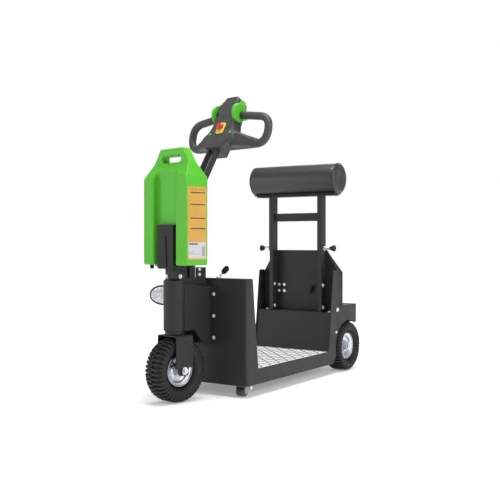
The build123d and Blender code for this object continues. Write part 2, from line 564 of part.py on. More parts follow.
# Tow jaw on the rear housing: back plate and two drilled tongues
jaw_y = wall_y(HOUSING_BACK)
jaw = block(-45, 45, jaw_y, jaw_y + 8, JAW_Z - 44, JAW_Z + 44)
tongue_edge = jaw_y + JAW_REACH
for z in (JAW_Z - 24, JAW_Z + 24):
    tongue = block(-28, 28, jaw_y + 8, tongue_edge, z - 5, z + 5)
    jaw += fillet(tongue.edges().filter_by(Axis.Z).group_by(Axis.Y)[-1], 20)
jaw -= rod_z(JAW_HOLE_RADIUS, 0, jaw_y + JAW_HOLE_FROM_HOUSING, JAW_Z - 60, JAW_Z + 60)
save("tow_jaw", jaw)

# Back-rest plate: flat sheet, with a narrow edge folded back along its sloping corners and its top
back_y = wall_y(BACK_PLATE_FROM_WALL)


def back_outline(inset):
    """Outline of the back-rest plate, drawn in by a wall."""
    return mirrored([
        (BODY_HALF_WIDTH - inset, TRAY_TOP + 10), (BODY_HALF_WIDTH - inset, BACK_SHOULDER_Z - inset / 2),
        (BACK_PLATE_TOP_HALF - inset / 2, BACK_PLATE_TOP_Z - inset)])


back_plate = cross_sheet(back_outline(0), back_y, back_y + BACK_FLANGE)
back_plate -= cross_sheet(back_outline(SHEET), back_y + SHEET, back_y + BACK_FLANGE + 1)
back_plate -= block(-300, 300, back_y + SHEET, back_y + 50, 0, BACK_SHOULDER_Z)
back_plate -= arch_cut
save("back_plate", back_plate)

# Black hood behind the plate, its back falling away towards the top
hood_front = back_y + SHEET
hood_back = wall_y(COVER_BACK_FROM_WALL)
hood_top_z = BACK_PLATE_TOP_Z - HOOD_INSET


def hood(wall):
    """The hood's solid form, drawn in by a wall."""
    front = hood_front - 1 if wall else hood_front
    side = side_sheet([
        (front, HOUSING_TOP_Z - wall), (hood_back - wall, HOUSING_TOP_Z - wall), (hood_back - wall, BACK_SHOULDER_Z),
        (back_y + BACK_FLANGE + 4, hood_top_z - wall), (front, hood_top_z - wall)], -300, 300)
    return side & cross_sheet(back_outline(HOOD_INSET + wall), hood_front - 2, hood_back + 1)


save("rear_hood", hood(0) - hood(COVER_SHEET))

# Guide rails bolted to the box, and the tubes of the pad frame that slide over them
rail_y = wall_y(RAIL_FROM_WALL)
rails = []
for side in (-1, 1):
    x = side * RAIL_X
    rail = block(x - RAIL_WIDTH / 2, x + RAIL_WIDTH / 2, rail_y - RAIL_DEPTH / 2, rail_y + RAIL_DEPTH / 2,
                 REAR_BOX_TOP_Z, RAIL_TOP_Z)
    for z in (330, 433):
        rail += block(x - 8, x + 8, rail_y + RAIL_DEPTH / 2, back_y, z - 12, z + 12)
    rails.append(rail)
save("guide_rails", *rails)
frame = block(-RAIL_X, RAIL_X, rail_y - 4, rail_y + 4, CROSSBAR_BOTTOM_Z, CROSSBAR_TOP_Z)
for side in (-1, 1):
    x = side * RAIL_X
    frame += block(x - FRAME_TUBE_WIDTH / 2, x + FRAME_TUBE_WIDTH / 2, rail_y - FRAME_TUBE_DEPTH / 2,
                   rail_y + FRAME_TUBE_DEPTH / 2, FRAME_FOOT_Z, PAD_PLATE_Z)
for side in (-1, 1):
    x = side * RAIL_X
    inner_x = FRAME_TUBE_WIDTH / 2 - FRAME_TUBE_WALL
    inner_y = FRAME_TUBE_DEPTH / 2 - FRAME_TUBE_WALL
    frame -= block(x - inner_x, x + inner_x, rail_y - inner_y, rail_y + inner_y, FRAME_FOOT_Z - 1, PAD_PLATE_Z)
frame += block(-PAD_HALF_LENGTH + 28, PAD_HALF_LENGTH - 28, rail_y - 32, rail_y + 32, PAD_PLATE_Z, PAD_PLATE_Z + 5)
save("pad_frame", frame)
plungers = []
for side in (-1, 1):
    start = side * (RAIL_X + FRAME_TUBE_WIDTH / 2)
    stem = rod_x(6, start, start + side * 46, rail_y, PLUNGER_Z)
    plungers.append(stem + rod_x(12, start + side * 46, start + side * 62, rail_y, PLUNGER_Z))
save("plungers", *plungers)
pad = rod_x(PAD_RADIUS, -PAD_HALF_LENGTH, PAD_HALF_LENGTH, rail_y, PAD_PLATE_Z + 5.3 + PAD_RADIUS)
save("pad", chamfer(pad.edges().filter_by(GeomType.CIRCLE), 10))
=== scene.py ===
import bpy
import bmesh
import math
from mathutils import Matrix, Vector


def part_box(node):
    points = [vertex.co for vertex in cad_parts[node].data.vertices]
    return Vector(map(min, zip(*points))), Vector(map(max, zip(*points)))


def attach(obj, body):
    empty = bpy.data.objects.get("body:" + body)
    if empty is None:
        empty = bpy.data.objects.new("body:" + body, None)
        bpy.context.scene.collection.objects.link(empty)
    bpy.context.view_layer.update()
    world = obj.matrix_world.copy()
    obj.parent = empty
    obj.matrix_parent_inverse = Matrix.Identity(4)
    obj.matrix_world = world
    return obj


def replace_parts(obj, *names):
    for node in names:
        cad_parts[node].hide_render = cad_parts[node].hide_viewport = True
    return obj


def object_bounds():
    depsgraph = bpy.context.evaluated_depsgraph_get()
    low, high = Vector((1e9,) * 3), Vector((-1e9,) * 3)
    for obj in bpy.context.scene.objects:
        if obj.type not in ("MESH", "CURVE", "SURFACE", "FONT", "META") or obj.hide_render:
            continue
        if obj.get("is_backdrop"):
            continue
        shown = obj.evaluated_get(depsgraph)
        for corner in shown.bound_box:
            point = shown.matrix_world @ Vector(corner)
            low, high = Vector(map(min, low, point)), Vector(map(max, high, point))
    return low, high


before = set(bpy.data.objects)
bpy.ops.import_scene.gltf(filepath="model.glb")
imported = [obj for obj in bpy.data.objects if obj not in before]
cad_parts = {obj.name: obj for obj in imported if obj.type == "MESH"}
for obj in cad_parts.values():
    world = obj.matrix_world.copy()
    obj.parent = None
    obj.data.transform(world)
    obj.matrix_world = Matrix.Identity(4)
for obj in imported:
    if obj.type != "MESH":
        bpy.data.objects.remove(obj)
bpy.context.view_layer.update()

# Stage. A pale floor under soft studio light, seen from the front and the vehicle's left at the
# photograph's angle. The camera is level, and a small shift lifts its frame to the handle.
CAMERA_TURN = math.radians(33.5)


def placed(name, data):
    """A new object in the scene, made from its data."""
    made = bpy.data.objects.new(name, data)
    bpy.context.scene.collection.objects.link(made)
    return made


camera = placed("camera", bpy.data.cameras.new("camera"))
camera.location = (2.0406, -3.1356, 0.6431)
camera.rotation_euler = (math.pi / 2, 0, CAMERA_TURN)
camera.data.lens = 58.1
camera.data.sensor_width = 36.0
camera.data.shift_y = -0.014
camera.data.clip_end = 60.0
bpy.context.scene.camera = camera
bpy.context.scene.view_settings.view_transform = "Standard"


class Wire:
    """An output in a node tree. Arithmetic on it adds Math nodes to the same tree."""

    def __init__(self, tree, socket):
        self.tree = tree
        self.socket = socket

    def of(self, name):
        return Wire(self.tree, self.socket.node.outputs[name])

    def maths(self, operation, first, second):
        return self.tree.node("ShaderNodeMath", {"operation": operation}, {0: first, 1: second})

    def __add__(self, other):
        return self.maths("ADD", self, other)

    def __radd__(self, other):
        return self.maths("ADD", other, self)

    def __sub__(self, other):
        return self.maths("SUBTRACT", self, other)

    def __rsub__(self, other):
        return self.maths("SUBTRACT", other, self)

    def __mul__(self, other):
        return self.maths("MULTIPLY", self, other)

    def __rmul__(self, other):
        return self.maths("MULTIPLY", other, self)


class Tree:
    """A node tree in which a node is made from its type, its settings and its sockets' values or links."""

    def __init__(self, nodes):
        self.nodes = nodes

    def node(self, kind, settings=None, sockets=None):
        made = self.nodes.nodes.new(kind)
        for key, value in (settings or {}).items():
            setattr(made, key, value)
        self.plug(made, sockets or {})
        return Wire(self, made.outputs[0])

    def vector(self, **parts):
        return self.node("ShaderNodeCombineXYZ", {}, parts)

    def plug(self, made, sockets):
        for key, value in sockets.items():
            socket = made.inputs[key]
            if isinstance(value, Wire):
                self.nodes.links.new(value.socket, socket)
            elif isinstance(value, tuple) and len(value) == 3 and socket.type == "RGBA":
                socket.default_value = (*value, 1.0)
            else:
                socket.default_value = value


class Finish(Tree):
    """A material: one Principled shader, with the nodes that vary it over the surface."""

    def __init__(self, name, **sockets):
        self.material = bpy.data.materials.new(name)
        self.material.use_nodes = True
        super().__init__(self.material.node_tree)
        self.shader = self.nodes.nodes["Principled BSDF"]
        self.vary(**sockets)
        self.place = self.node("ShaderNodeTexCoord").of("Object")

    def vary(self, **sockets):
        self.plug(self.shader, {key.replace("_", " "): value for key, value in sockets.items()})

    def uneven(self, base, spread, *noise):
        """Roughness that wanders over the surface, from a base value up."""
        self.vary(Roughness=base + spread * self.noise(*noise))

    def mottled(self, low, high, *noise):
        """A base colour that wanders over the surface between two others."""
        self.vary(Base_Color=self.colour_mix(self.noise(*noise), low, high))

    def noise(self, scale, detail=2.0, roughness=0.5, at=None):
        return self.node("ShaderNodeTexNoise", {}, {
            "Vector": at or self.place, "Scale": scale, "Detail": detail, "Roughness": roughness})

    def colour_mix(self, mask, low, high):
        made = self.nodes.nodes.new("ShaderNodeMix")
        made.data_type = "RGBA"
        self.plug(made, {0: mask, 6: low, 7: high})
        return Wire(self, made.outputs[2])

    def relief(self, height, distance, strength=1.0):
        bump = self.node("ShaderNodeBump", {}, {"Height": height, "Distance": distance, "Strength": strength})
        self.vary(Normal=bump)


world = bpy.data.worlds.new("studio")
bpy.context.scene.world = world
world.use_nodes = True
sky = Tree(world.node_tree)
ray = sky.node("ShaderNodeLightPath")
seen = ray.of("Is Camera Ray").maths("MAXIMUM", ray.of("Is Camera Ray"), ray.of("Is Transmission Ray"))
seen = seen.maths("MAXIMUM", seen, ray.of("Is Glossy Ray") * 0.25)
background = world.node_tree.nodes["Background"]
AMBIENT = 0.30
sky.plug(background, {"Color": (1.0, 1.0, 1.0), "Strength": seen * (1.0 - AMBIENT) + AMBIENT})
floor_finish = Finish("floor", Base_Color=(0.95, 0.95, 0.95), Roughness=0.9)
floor_finish.vary(Specular_IOR_Level=0.0, Emission_Strength=0.85)
# The floor glows by its own emission: painted light, weak near the machine, where its shadow falls, and full far
# off, where the lamps fall off.
far = floor_finish.node("ShaderNodeVectorMath", {"operation": "LENGTH"}, {0: floor_finish.place}).of("Value")
far = floor_finish.node("ShaderNodeMapRange", {"interpolation_type": "SMOOTHSTEP"}, {
    "Value": far, "From Min": 0.9, "From Max": 3.2, "To Min": 0.30, "To Max": 1.0})
floor_finish.vary(Emission_Color=floor_finish.colour_mix(far, (0.0, 0.0, 0.0), (1.0, 1.0, 1.0)))
bpy.ops.mesh.primitive_plane_add(size=60.0, location=(0, 0, 0))
floor = bpy.context.object
floor.name = "floor"
floor.data.materials.append(floor_finish.material)
floor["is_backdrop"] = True
LAMPS = [
    # name, place, aimed at, side of the square, watts
    ("top", (0.2, -0.4, 3.9), (0.0, 0.0, 0.6), 1.8, 122.0),
    ("side", (3.6, -0.4, 2.0), (0.0, 0.1, 0.6), 1.6, 62.0),
    ("fill", (-2.6, -2.9, 1.6), (0.0, -0.2, 0.6), 1.8, 26.0),
    ("rear", (-0.8, 3.4, 2.8), (0.0, 0.2, 0.6), 2.0, 46.0),
]
for name, place, aim, side, watts in LAMPS:
    lamp = placed(name, bpy.data.lights.new(name, "AREA"))
    lamp.data.size = side
    lamp.data.energy = watts
    lamp.location = place
    lamp.rotation_euler = (Vector(aim) - Vector(place)).to_track_quat("-Z", "Y").to_euler()

# Powder-coated sheet steel: the whole body, the back-rest parts and the tow jaw. Laser-cut and folded
# sheets keep their CAD shapes, with cut edges rounded by about a millimetre.
MIDDLE = -0.0201
WALL = -0.3779


def wall(distance):
    """Row Y of a place measured in metres rearward from the front wall."""
    return WALL + distance


def coat(name, colour):
    """Powder coat: a fine grain, slightly uneven in colour and gloss."""
    made = Finish(name, Specular_IOR_Level=0.30)
    made.mottled(tuple(0.88 * c for c in colour), tuple(1.12 * c for c in colour), 3.0, 3.0)
    made.uneven(0.43, 0.16, 14.0, 3.0)
    made.relief(made.noise(900.0, 2.0), 0.00012, 0.35)
    return made


def round_edges(piece, width, segments=2, angle=40.0, harden=False):
    soft = piece.modifiers.new("edge", "BEVEL")
    soft.width = width
    soft.segments = segments
    soft.limit_method = "ANGLE"
    soft.angle_limit = math.radians(angle)
    soft.harden_normals = harden


def dress(node, finish, edge=0.0012):
    """Give a CAD node its finish and fine rounded edges, leaving its mesh as it is."""
    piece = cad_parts[node]
    piece.data.materials.clear()
    piece.data.materials.append(finish.material)
    for polygon in piece.data.polygons:
        polygon.use_smooth = False
    if edge:
        weld = piece.modifiers.new("weld", "WELD")
        weld.merge_threshold = 0.00001
        flat = piece.modifiers.new("flat", "DECIMATE")
        flat.decimate_type = "DISSOLVE"
        flat.angle_limit = math.radians(1.0)
        round_edges(piece, edge)


charcoal = coat("charcoal_coat", (0.0185, 0.0183, 0.0188))
for node in ("side_plate_left", "side_plate_right", "front_wall", "column_cover", "deck_tray", "rear_box",
             "rear_housing", "axle_carrier", "head_bracket", "back_plate", "guide_rails", "tow_jaw",
             "lamp_bracket", "stop_tab", "pad_frame", "fork", "axle_holders", "yoke", "tiller_arm"):
    dress(node, charcoal)

# Deck plate: aluminium with raised lozenges in alternating directions, one beside the other, so that shoes
# grip. The plate is the CAD node, and the lozenges are grown on its top. The sheet's finish is no metal in the
# shader and nearly white: a painted reflection of the bright studio. The lozenges' dark grey is painted shade.
aluminium = Finish("deck_aluminium", Metallic=0.0, Base_Color=(0.96, 0.955, 0.965))
scratches = aluminium.node("ShaderNodeMapping", {}, {"Vector": aluminium.place, "Scale": (40.0, 900.0, 40.0)})
aluminium.uneven(0.36, 0.22, 6.0, 5.0, 0.6)
aluminium.relief(aluminium.noise(1.0, 4.0, 0.6, scratches), 0.00008, 0.5)
dress("tread_plate", aluminium, 0)
# The lozenges are dark grey: painted shade that stands for their shaded sides.
lozenge_shade = Finish("lozenge_aluminium", Metallic=0.6, Base_Color=(0.20, 0.195, 0.215))
lozenge_shade.uneven(0.30, 0.20, 30.0, 3.0)


def finished(piece):
    """The mesh of an object with its modifiers applied."""
    return bpy.data.meshes.new_from_object(piece.evaluated_get(bpy.context.evaluated_depsgraph_get()))


class Growth(Tree):
    """A Geometry Nodes tree with named inputs, for forms that repeat."""

    def __init__(self, name, numbers):
        self.group = bpy.data.node_groups.new(name, "GeometryNodeTree")
        super().__init__(self.group)
        self.sockets = {}
        sockets = {"Geometry": "NodeSocketGeometry", **numbers, "Material": "NodeSocketMaterial"}
        for label, kind in sockets.items():
            made = self.group.interface.new_socket(name=label, in_out="INPUT", socket_type=kind)
            self.sockets[label] = made.identifier
        self.group.interface.new_socket(name="Geometry", in_out="OUTPUT", socket_type="NodeSocketGeometry")
        self.source = self.node("NodeGroupInput")

    def given(self, label):
        return self.source.of(label)

    def attribute(self, name, kind="FLOAT"):
        return self.node("GeometryNodeInputNamedAttribute", {"data_type": kind}, {"Name": name})

    def strew(self, points, form, **sockets):
        """End the tree: a form on every point, made real and given the material."""
        strewn = self.node("GeometryNodeInstanceOnPoints", {}, {"Points": points, "Instance": form, **sockets})
        real = self.node("GeometryNodeRealizeInstances", {}, {"Geometry": strewn})
        painted = self.node("GeometryNodeSetMaterial", {}, {"Geometry": real, "Material": self.given("Material")})
        end = self.group.nodes.new("NodeGroupOutput")
        self.group.links.new(painted.socket, end.inputs["Geometry"])

    def grow(self, name, mesh, finish, body, slot, place=None, smooth=None, **numbers):
        """Run the tree on a mesh and keep the result, set in place, as one plain mesh piece on a body."""
        seedling = placed(name + "_seed", mesh)
        modifier = seedling.modifiers.new("growth", "NODES")
        modifier.node_group = self.group
        for label, value in {**numbers, "Material": finish.material}.items():
            modifier[self.sockets[label.replace("_", " ")]] = value
        grown = finished(seedling)
        bpy.data.objects.remove(seedling)
        grown.transform(place or Matrix())
        settle(name, grown, finish, body, smooth)


def settle(name, mesh, finish, body, smooth=None):
    """Make a mesh a piece, with its finish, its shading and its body."""
    mesh.materials.clear()
    mesh.materials.append(finish.material)
    if smooth is not None:
        mesh.shade_smooth()
        mesh.set_sharp_from_angle(angle=math.radians(smooth))
    piece = placed(name, mesh)
    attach(piece, body)
    return piece


LOZENGE_PITCH = 0.036
LOZENGE_LENGTH = 0.0480
LOZENGE_WIDTH = 0.0108
LOZENGE_HEIGHT = 0.0016
deck_low, deck_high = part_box("tread_plate")
lozenges = Growth("lozenge_field", {side: "NodeSocketFloat" for side in ("Length", "Width", "Height")})
bar = lozenges.node("GeometryNodeMeshUVSphere", {}, {"Segments": 12, "Rings": 5, "Radius": 0.5})
size = lozenges.vector(X=lozenges.given("Length"), Y=lozenges.given("Width"), Z=2.0 * lozenges.given("Height"))
spin = lozenges.vector(Z=lozenges.attribute("turn"))
lozenges.strew(lozenges.given("Geometry"), bar, Rotation=spin, Scale=size)
places, turns = [], []
columns = int((deck_high.x - deck_low.x) / LOZENGE_PITCH)
rows = int((deck_high.y - deck_low.y) / LOZENGE_PITCH)
for column in range(columns):
    for row in range(rows):
        places.append((
            (deck_low.x + deck_high.x) / 2 + (column - (columns - 1) / 2) * LOZENGE_PITCH,
            (deck_low.y + deck_high.y) / 2 + (row - (rows - 1) / 2) * LOZENGE_PITCH,
            deck_high.z))
        turns.append(math.radians(45 if (column + row) % 2 else -45))
field = bpy.data.meshes.new("lozenge_points")
field.from_pydata(places, [], [])
field.attributes.new("turn", "FLOAT", "POINT").data.foreach_set("value", turns)
lozenges.grow("deck_lozenges", field, lozenge_shade, "chassis", "tread_aluminium",
              Length=LOZENGE_LENGTH, Width=LOZENGE_WIDTH, Height=LOZENGE_HEIGHT)

# Tyres: black rubber with crossed lugs, two to a pitch and staggered at the middle, moulded on a round
# carcass. The carcass is turned and the lugs are set round it. Each tyre stands on its rim's bead seats.
LUG_PITCHES = 42
LUG_FOOT = 0.0128
LUG_TOP = 0.0092
LUG_RISE = 0.0074
LUG_SUNK = 0.002
rubber = Finish("tyre_rubber", Specular_IOR_Level=0.38)
rubber.uneven(0.50, 0.24, 30.0, 3.0)
rubber.mottled((0.0045, 0.0045, 0.0045), (0.0105, 0.0100, 0.0095), 9.0, 4.0)
rubber.relief(rubber.noise(420.0, 2.0), 0.0002, 0.5)
SIDES = (-1, 1)
TURN_AT_REST = 9.4
FRONT_RADIUS = 0.130
REAR_RADIUS = 0.123
REAR_AXLE = wall(0.928)
HALF_TRACK = 0.182


def moved(x, y, z):
    return Matrix.Translation((x, y, z))


def spun(degrees, axis):
    return Matrix.Rotation(math.radians(degrees), 4, axis)


STEERED = moved(MIDDLE, wall(-0.202), 0) @ spun(-TURN_AT_REST, "Z")


def softened(points, radius, steps=4):
    """Round the corners of a closed outline. Each corner is cut no deeper than 45% of its edges."""
    rounded = []
    for index, corner in enumerate(points):
        here = Vector(corner)
        before = Vector(points[index - 1])
        after = Vector(points[(index + 1) % len(points)])
        start = here + (before - here) * min(0.45, radius / max((before - here).length, 1e-9))
        end = here + (after - here) * min(0.45, radius / max((after - here).length, 1e-9))
        for step in range(steps + 1):
            part = step / steps
            rounded.append(tuple(start * (1 - part) ** 2 + here * 2 * part * (1 - part) + end * part ** 2))
    return rounded


def poured(form, name):
    """A mesh from a bmesh, which is freed."""
    mesh = bpy.data.meshes.new(name)
    form.to_mesh(mesh)
    form.free()
    return mesh


def closed(form, name):
    """A mesh from a bmesh, with its doubles merged and its faces turned outwards."""
    bmesh.ops.remove_doubles(form, verts=form.verts, dist=0.000002)
    bmesh.ops.dissolve_degenerate(form, dist=0.000002, edges=form.edges)
    bmesh.ops.recalc_face_normals(form, faces=form.faces)
    return poured(form, name)


def circle(radius, steps):
    """Points round a circle, each with its cosine first."""
    angles = [2 * math.pi * step / steps for step in range(steps)]
    return [(radius * math.cos(angle), radius * math.sin(angle)) for angle in angles]


def bridge(form, ring, following):
    """Faces from one closed ring of vertices to the next."""
    for index in range(len(ring)):
        after = (index + 1) % len(ring)
        form.faces.new((ring[index], ring[after], following[after], following[index]))


def skin_between(form, sections):
    """Join matching outlines one after another into a closed form."""
    rings = [[form.verts.new(point) for point in section] for section in sections]
    form.faces.new(rings[0])
    form.faces.new(list(reversed(rings[-1])))
    for ring, following in zip(rings, rings[1:]):
        bridge(form, ring, following)


def turned(name, profile, steps, place):
    """A form turned about the X axis through a closed line of (x, radius) points, and set in place."""
    form = bmesh.new()
    rings = [[form.verts.new(place @ Vector((x, r * sine, r * cosine))) for x, r in profile]
             for cosine, sine in circle(1.0, steps)]
    for step in range(steps):
        bridge(form, rings[step], rings[(step + 1) % steps])
    return closed(form, name)


def prism(name, outline, near, far, place):
    """A flat form in place: an (x, z) outline carried from one y to another."""
    form = bmesh.new()
    skin_between(form, [[place @ Vector((x, y, z)) for x, z in outline] for y in (near, far)])
    return closed(form, name)


def lathe_piece(name, profile, steps, place, finish, body, smooth=35):
    return settle(name, turned(name, profile, steps, place), finish, body, smooth)


def flat_piece(name, outline, near, far, place, finish, body, smooth=35):
    return settle(name, prism(name, outline, near, far, place), finish, body, smooth)


def both_sides(half):
    """An outline given for one side, closed by its mirror image."""
    return half + [(-x, r) for x, r in reversed(half)]


def mirrored(*half):
    """As both_sides, but it starts at the mirror image of the first point."""
    return [(-half[0][0], half[0][1])] + list(half) + [(-x, r) for x, r in reversed(half[1:])]


lug_ring = Growth("lug_ring", {"Pitches": "NodeSocketInt"})
steps = lug_ring.node("GeometryNodeMeshLine", {}, {"Count": lug_ring.given("Pitches"), "Offset": (0.0, 0.0, 0.0)})
round_turn = lug_ring.node("ShaderNodeMath", {"operation": "DIVIDE"}, {
    0: lug_ring.node("GeometryNodeInputIndex") * (2 * math.pi), 1: lug_ring.given("Pitches")})
lug_ring.strew(steps, lug_ring.given("Geometry"), Rotation=lug_ring.vector(X=round_turn))
TYRES = [
    # name, body, radius, place
    ("tyre_front", "front_wheel", FRONT_RADIUS, STEERED @ moved(0, 0.007, FRONT_RADIUS)),
    ("tyre_rear_left", "rear_wheel_left", REAR_RADIUS, moved(MIDDLE + HALF_TRACK, REAR_AXLE, REAR_RADIUS)),
    ("tyre_rear_right", "rear_wheel_right", REAR_RADIUS, moved(MIDDLE - HALF_TRACK, REAR_AXLE, REAR_RADIUS)),
]
for node, body, radius, place in TYRES:
    ground = radius - LUG_RISE
    flank = both_sides([
        (0.0, ground + 0.0006), (0.026, ground), (0.0385, ground - 0.0042), (0.0445, ground - 0.0115),
        (0.0462, ground - 0.021), (0.0450, ground - 0.030), (0.0425, 0.0862), (0.0425, 0.0845), (0.0395, 0.0815),
        (0.0345, 0.0765), (0.0265, 0.0725), (0.0215, 0.0712), (0.0185, 0.0672), (0.0180, 0.0545)])
    flank = softened(flank, 0.0030, 2)
    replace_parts(lathe_piece(node + "_carcass", flank, 96, place, rubber, body, 40), node)
    lugs = bmesh.new()
    for side in SIDES:
        angle = side * math.pi / LUG_PITCHES / 2
        outline = [(-0.0015, ground - LUG_SUNK), (-0.0010, radius), (0.027, radius - 0.0003),
                   (0.0385, radius - 0.0042), (0.0464, radius - 0.0125), (0.0476, radius - 0.0215),
                   (0.0470, radius - 0.0300), (0.0440, radius - 0.0320)]
        ends = []
        for edge in SIDES:
            end = []
            for x, r in outline:
                height = max(0.0, r - ground + LUG_SUNK) / (radius - ground + LUG_SUNK)
                width = LUG_FOOT - (LUG_FOOT - LUG_TOP) * height
                along = r * math.sin(angle) + edge * width / 2
                end.append(lugs.verts.new((side * x, along, r * math.cos(angle))))
            ends.append(end)
            lugs.faces.new(end)
        bridge(lugs, *ends)
    pair = closed(lugs, node + "_pair")
    lug_ring.grow(node + "_lugs", pair, rubber, body, "tyre", place, 25, Pitches=LUG_PITCHES)

# Rims: pressed and zinc-plated steel, two rolled lips on a barrel, with a dished disc, a hub tube and a
# ring of disc bolts. Each one is turned as a single shell about its axle.
zinc = Finish("bright_zinc", Metallic=1.0)
zinc.uneven(0.20, 0.20, 26.0, 4.0, 0.6)
zinc.mottled((0.46, 0.51, 0.60), (0.78, 0.79, 0.81), 7.0, 3.0)
zinc.relief(zinc.noise(160.0, 3.0), 0.0001, 0.35)
RIM_SHELL = [
    # x along the axle, radius: the far lip and barrel, the disc, the hub tube, the disc's back, the near lip
    (-0.0192, 0.0528), (-0.0192, 0.0640), (-0.0215, 0.0668), (-0.0285, 0.0668), (-0.0300, 0.0650),
    (-0.0300, 0.0632), (-0.0240, 0.0620), (-0.0225, 0.0500), (0.0020, 0.0490), (0.0040, 0.0450),
    (0.0020, 0.0300), (0.0060, 0.0225), (-0.0380, 0.0205), (-0.0380, 0.0102), (0.0380, 0.0102),
    (0.0380, 0.0205), (0.0105, 0.0225), (0.0062, 0.0305), (0.0085, 0.0465), (0.0100, 0.0492),
    (0.0225, 0.0502), (0.0240, 0.0622), (0.0300, 0.0634), (0.0300, 0.0652), (0.0285, 0.0668),
    (0.0215, 0.0668), (0.0192, 0.0640), (0.0192, 0.0528)]
HALF_TURN = spun(180, "Z")
RIMS = [
    # name, body, place, the way its open side faces
    ("rim_front", "front_wheel", TYRES[0][3], Matrix()),
    ("rim_rear_left", "rear_wheel_left", TYRES[1][3], Matrix()),
    ("rim_rear_right", "rear_wheel_right", TYRES[2][3], HALF_TURN),
]
for node, body, place, facing in RIMS:
    shell_line = softened(RIM_SHELL, 0.0016, 3)
    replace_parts(lathe_piece(node + "_shell", shell_line, 96, place @ facing, zinc, body), node)

# Bolts: zinc-plated hexagon heads with washers, set by one tree on a table of places. They hold the rims,
# the bracket, the stop tab, the rails, the back plate, the rollers, the jaw and the parts of the steering head.
bolt_zinc = Finish("bolt_zinc", Metallic=0.55, Base_Color=(0.86, 0.86, 0.85))
bolt_zinc.uneven(0.26, 0.16, 60.0, 3.0)
bolt_heads = Growth("bolt_heads", {"Thickness": "NodeSocketFloat"})
shank = bolt_heads.node("GeometryNodeMeshCylinder", {}, {
    "Vertices": 6, "Radius": 1.0, "Depth": bolt_heads.given("Thickness")})
raised = bolt_heads.node("GeometryNodeTransform", {}, {
    "Geometry": shank, "Translation": bolt_heads.vector(Z=bolt_heads.given("Thickness") * 0.5 + 0.12)})
crown = bolt_heads.node("GeometryNodeMeshCone", {}, {
    "Vertices": 24, "Radius Top": 0.68, "Radius Bottom": 0.90, "Depth": 0.14})
crowned = bolt_heads.node("GeometryNodeTransform", {}, {
    "Geometry": crown, "Translation": bolt_heads.vector(Z=bolt_heads.given("Thickness") + 0.11)})
washer = bolt_heads.node("GeometryNodeMeshCylinder", {}, {"Vertices": 28, "Radius": 1.55, "Depth": 0.26})
joined = bolt_heads.node("GeometryNodeJoinGeometry")
for part in (raised, crowned, washer):
    bolt_heads.group.links.new(part.socket, joined.socket.node.inputs[0])
bolt_heads.strew(bolt_heads.given("Geometry"), joined, Rotation=bolt_heads.attribute("facing", "FLOAT_VECTOR"),
                 Scale=bolt_heads.attribute("size"))


def bolts(name, body, rows, place=None, finish=bolt_zinc):
    """Bolt heads on one body from rows of (x, y, z), the way the head faces, and its radius."""
    seeds = bpy.data.meshes.new(name + "_places")
    place = place or Matrix()
    seeds.from_pydata([place @ Vector(spot) for spot, way, radius in rows], [], [])
    facing = []
    for spot, way, radius in rows:
        facing.extend((place.to_3x3() @ Vector(way)).to_track_quat("Z", "X").to_euler())
    seeds.attributes.new("facing", "FLOAT_VECTOR", "POINT").data.foreach_set("vector", facing)
    radii = [radius for spot, way, radius in rows]
    seeds.attributes.new("size", "FLOAT", "POINT").data.foreach_set("value", radii)
    bolt_heads.grow(name, seeds, finish, body, "zinc", None, 30, Thickness=0.66)


RIM_BOLTS = 0.0375
LEFT, RIGHT, FRONT, BACK, UP = (1, 0, 0), (-1, 0, 0), (0, -1, 0), (0, 1, 0), (0, 0, 1)
for node, body, place, facing in RIMS:
    ring = []
    for number in range(4):
        angle = math.pi / 4 + number * math.pi / 2
        y, z = RIM_BOLTS * math.sin(angle), RIM_BOLTS * math.cos(angle)
        ring.extend([((0.0068, y, z), LEFT, 0.0042), ((0.0012, y, z), RIGHT, 0.0042)])
    bolts(node + "_bolts", body, ring, place @ facing)
CHASSIS_BOLTS = [
    # name, then places from the middle line, the way each head faces, and its radius
    ("bracket_bolts", [((side * 0.055, wall(-0.005), z), FRONT, 0.0052)
                       for side in SIDES for z in (0.428, 0.336, 0.244)]),
    ("stop_tab_bolts", [((-0.003, wall(-0.025), z), FRONT, 0.0042) for z in (0.532, 0.510)]),
    ("column_screws", [((side * 0.184, wall(0.030), 0.494), UP, 0.0038) for side in SIDES]),
    ("back_plate_bolts", [((x, wall(0.8186), z), FRONT, 0.0050)
                          for x in (-0.1247, -0.0935) for z in (0.429, 0.397)]),
    ("rail_bolts", [((side * 0.1507, wall(0.785), z), (side, 0, 0), 0.0068)
                    for side in SIDES for z in (0.433, 0.322)]),
    ("rail_bolts_inside", [((side * 0.1313, wall(0.785), z), (-side, 0, 0), 0.0056)
                           for side in SIDES for z in (0.433, 0.322)]),
    ("box_bolts", [((side * 0.182, wall(0.796), 0.300), UP, 0.0070) for side in SIDES]
     + [((side * 0.217, wall(0.812), 0.313), (side, 0, 0), 0.0068) for side in SIDES]
     + [((side * 0.217, wall(0.800), 0.203), (side, 0, 0), 0.0045) for side in SIDES]),
    ("roller_bolts", [((side * 0.217, wall(0.037), 0.042), (side, 0, 0), 0.0042) for side in SIDES]),
    ("jaw_bolts", [((side * 0.035, wall(1.029), z), BACK, 0.0060) for side in SIDES for z in (0.252, 0.318)]),
]
for name, rows in CHASSIS_BOLTS:
    bolts(name, "chassis", [((MIDDLE + x, y, z), way, radius) for (x, y, z), way, radius in rows])
fork_rows = [((side * 0.0575, 0.0106, 0.242), (side, 0, 0), 0.0036) for side in SIDES]
axle_rows = [((side * 0.0575, 0.007, 0.130), (side, 0, 0), 0.0098) for side in SIDES]
yoke_rows = [((side * 0.025, 0.012, 0.508), (side, 0, 0), 0.0058) for side in SIDES]
arm_rows = [((side * 0.0255, 0.082, z), (side, 0, 0), 0.0060) for side in SIDES for z in (0.575, 0.640)]
bolts("fork_bolts", "steering", fork_rows, STEERED, charcoal)
bolts("axle_nuts", "steering", axle_rows, STEERED, zinc)
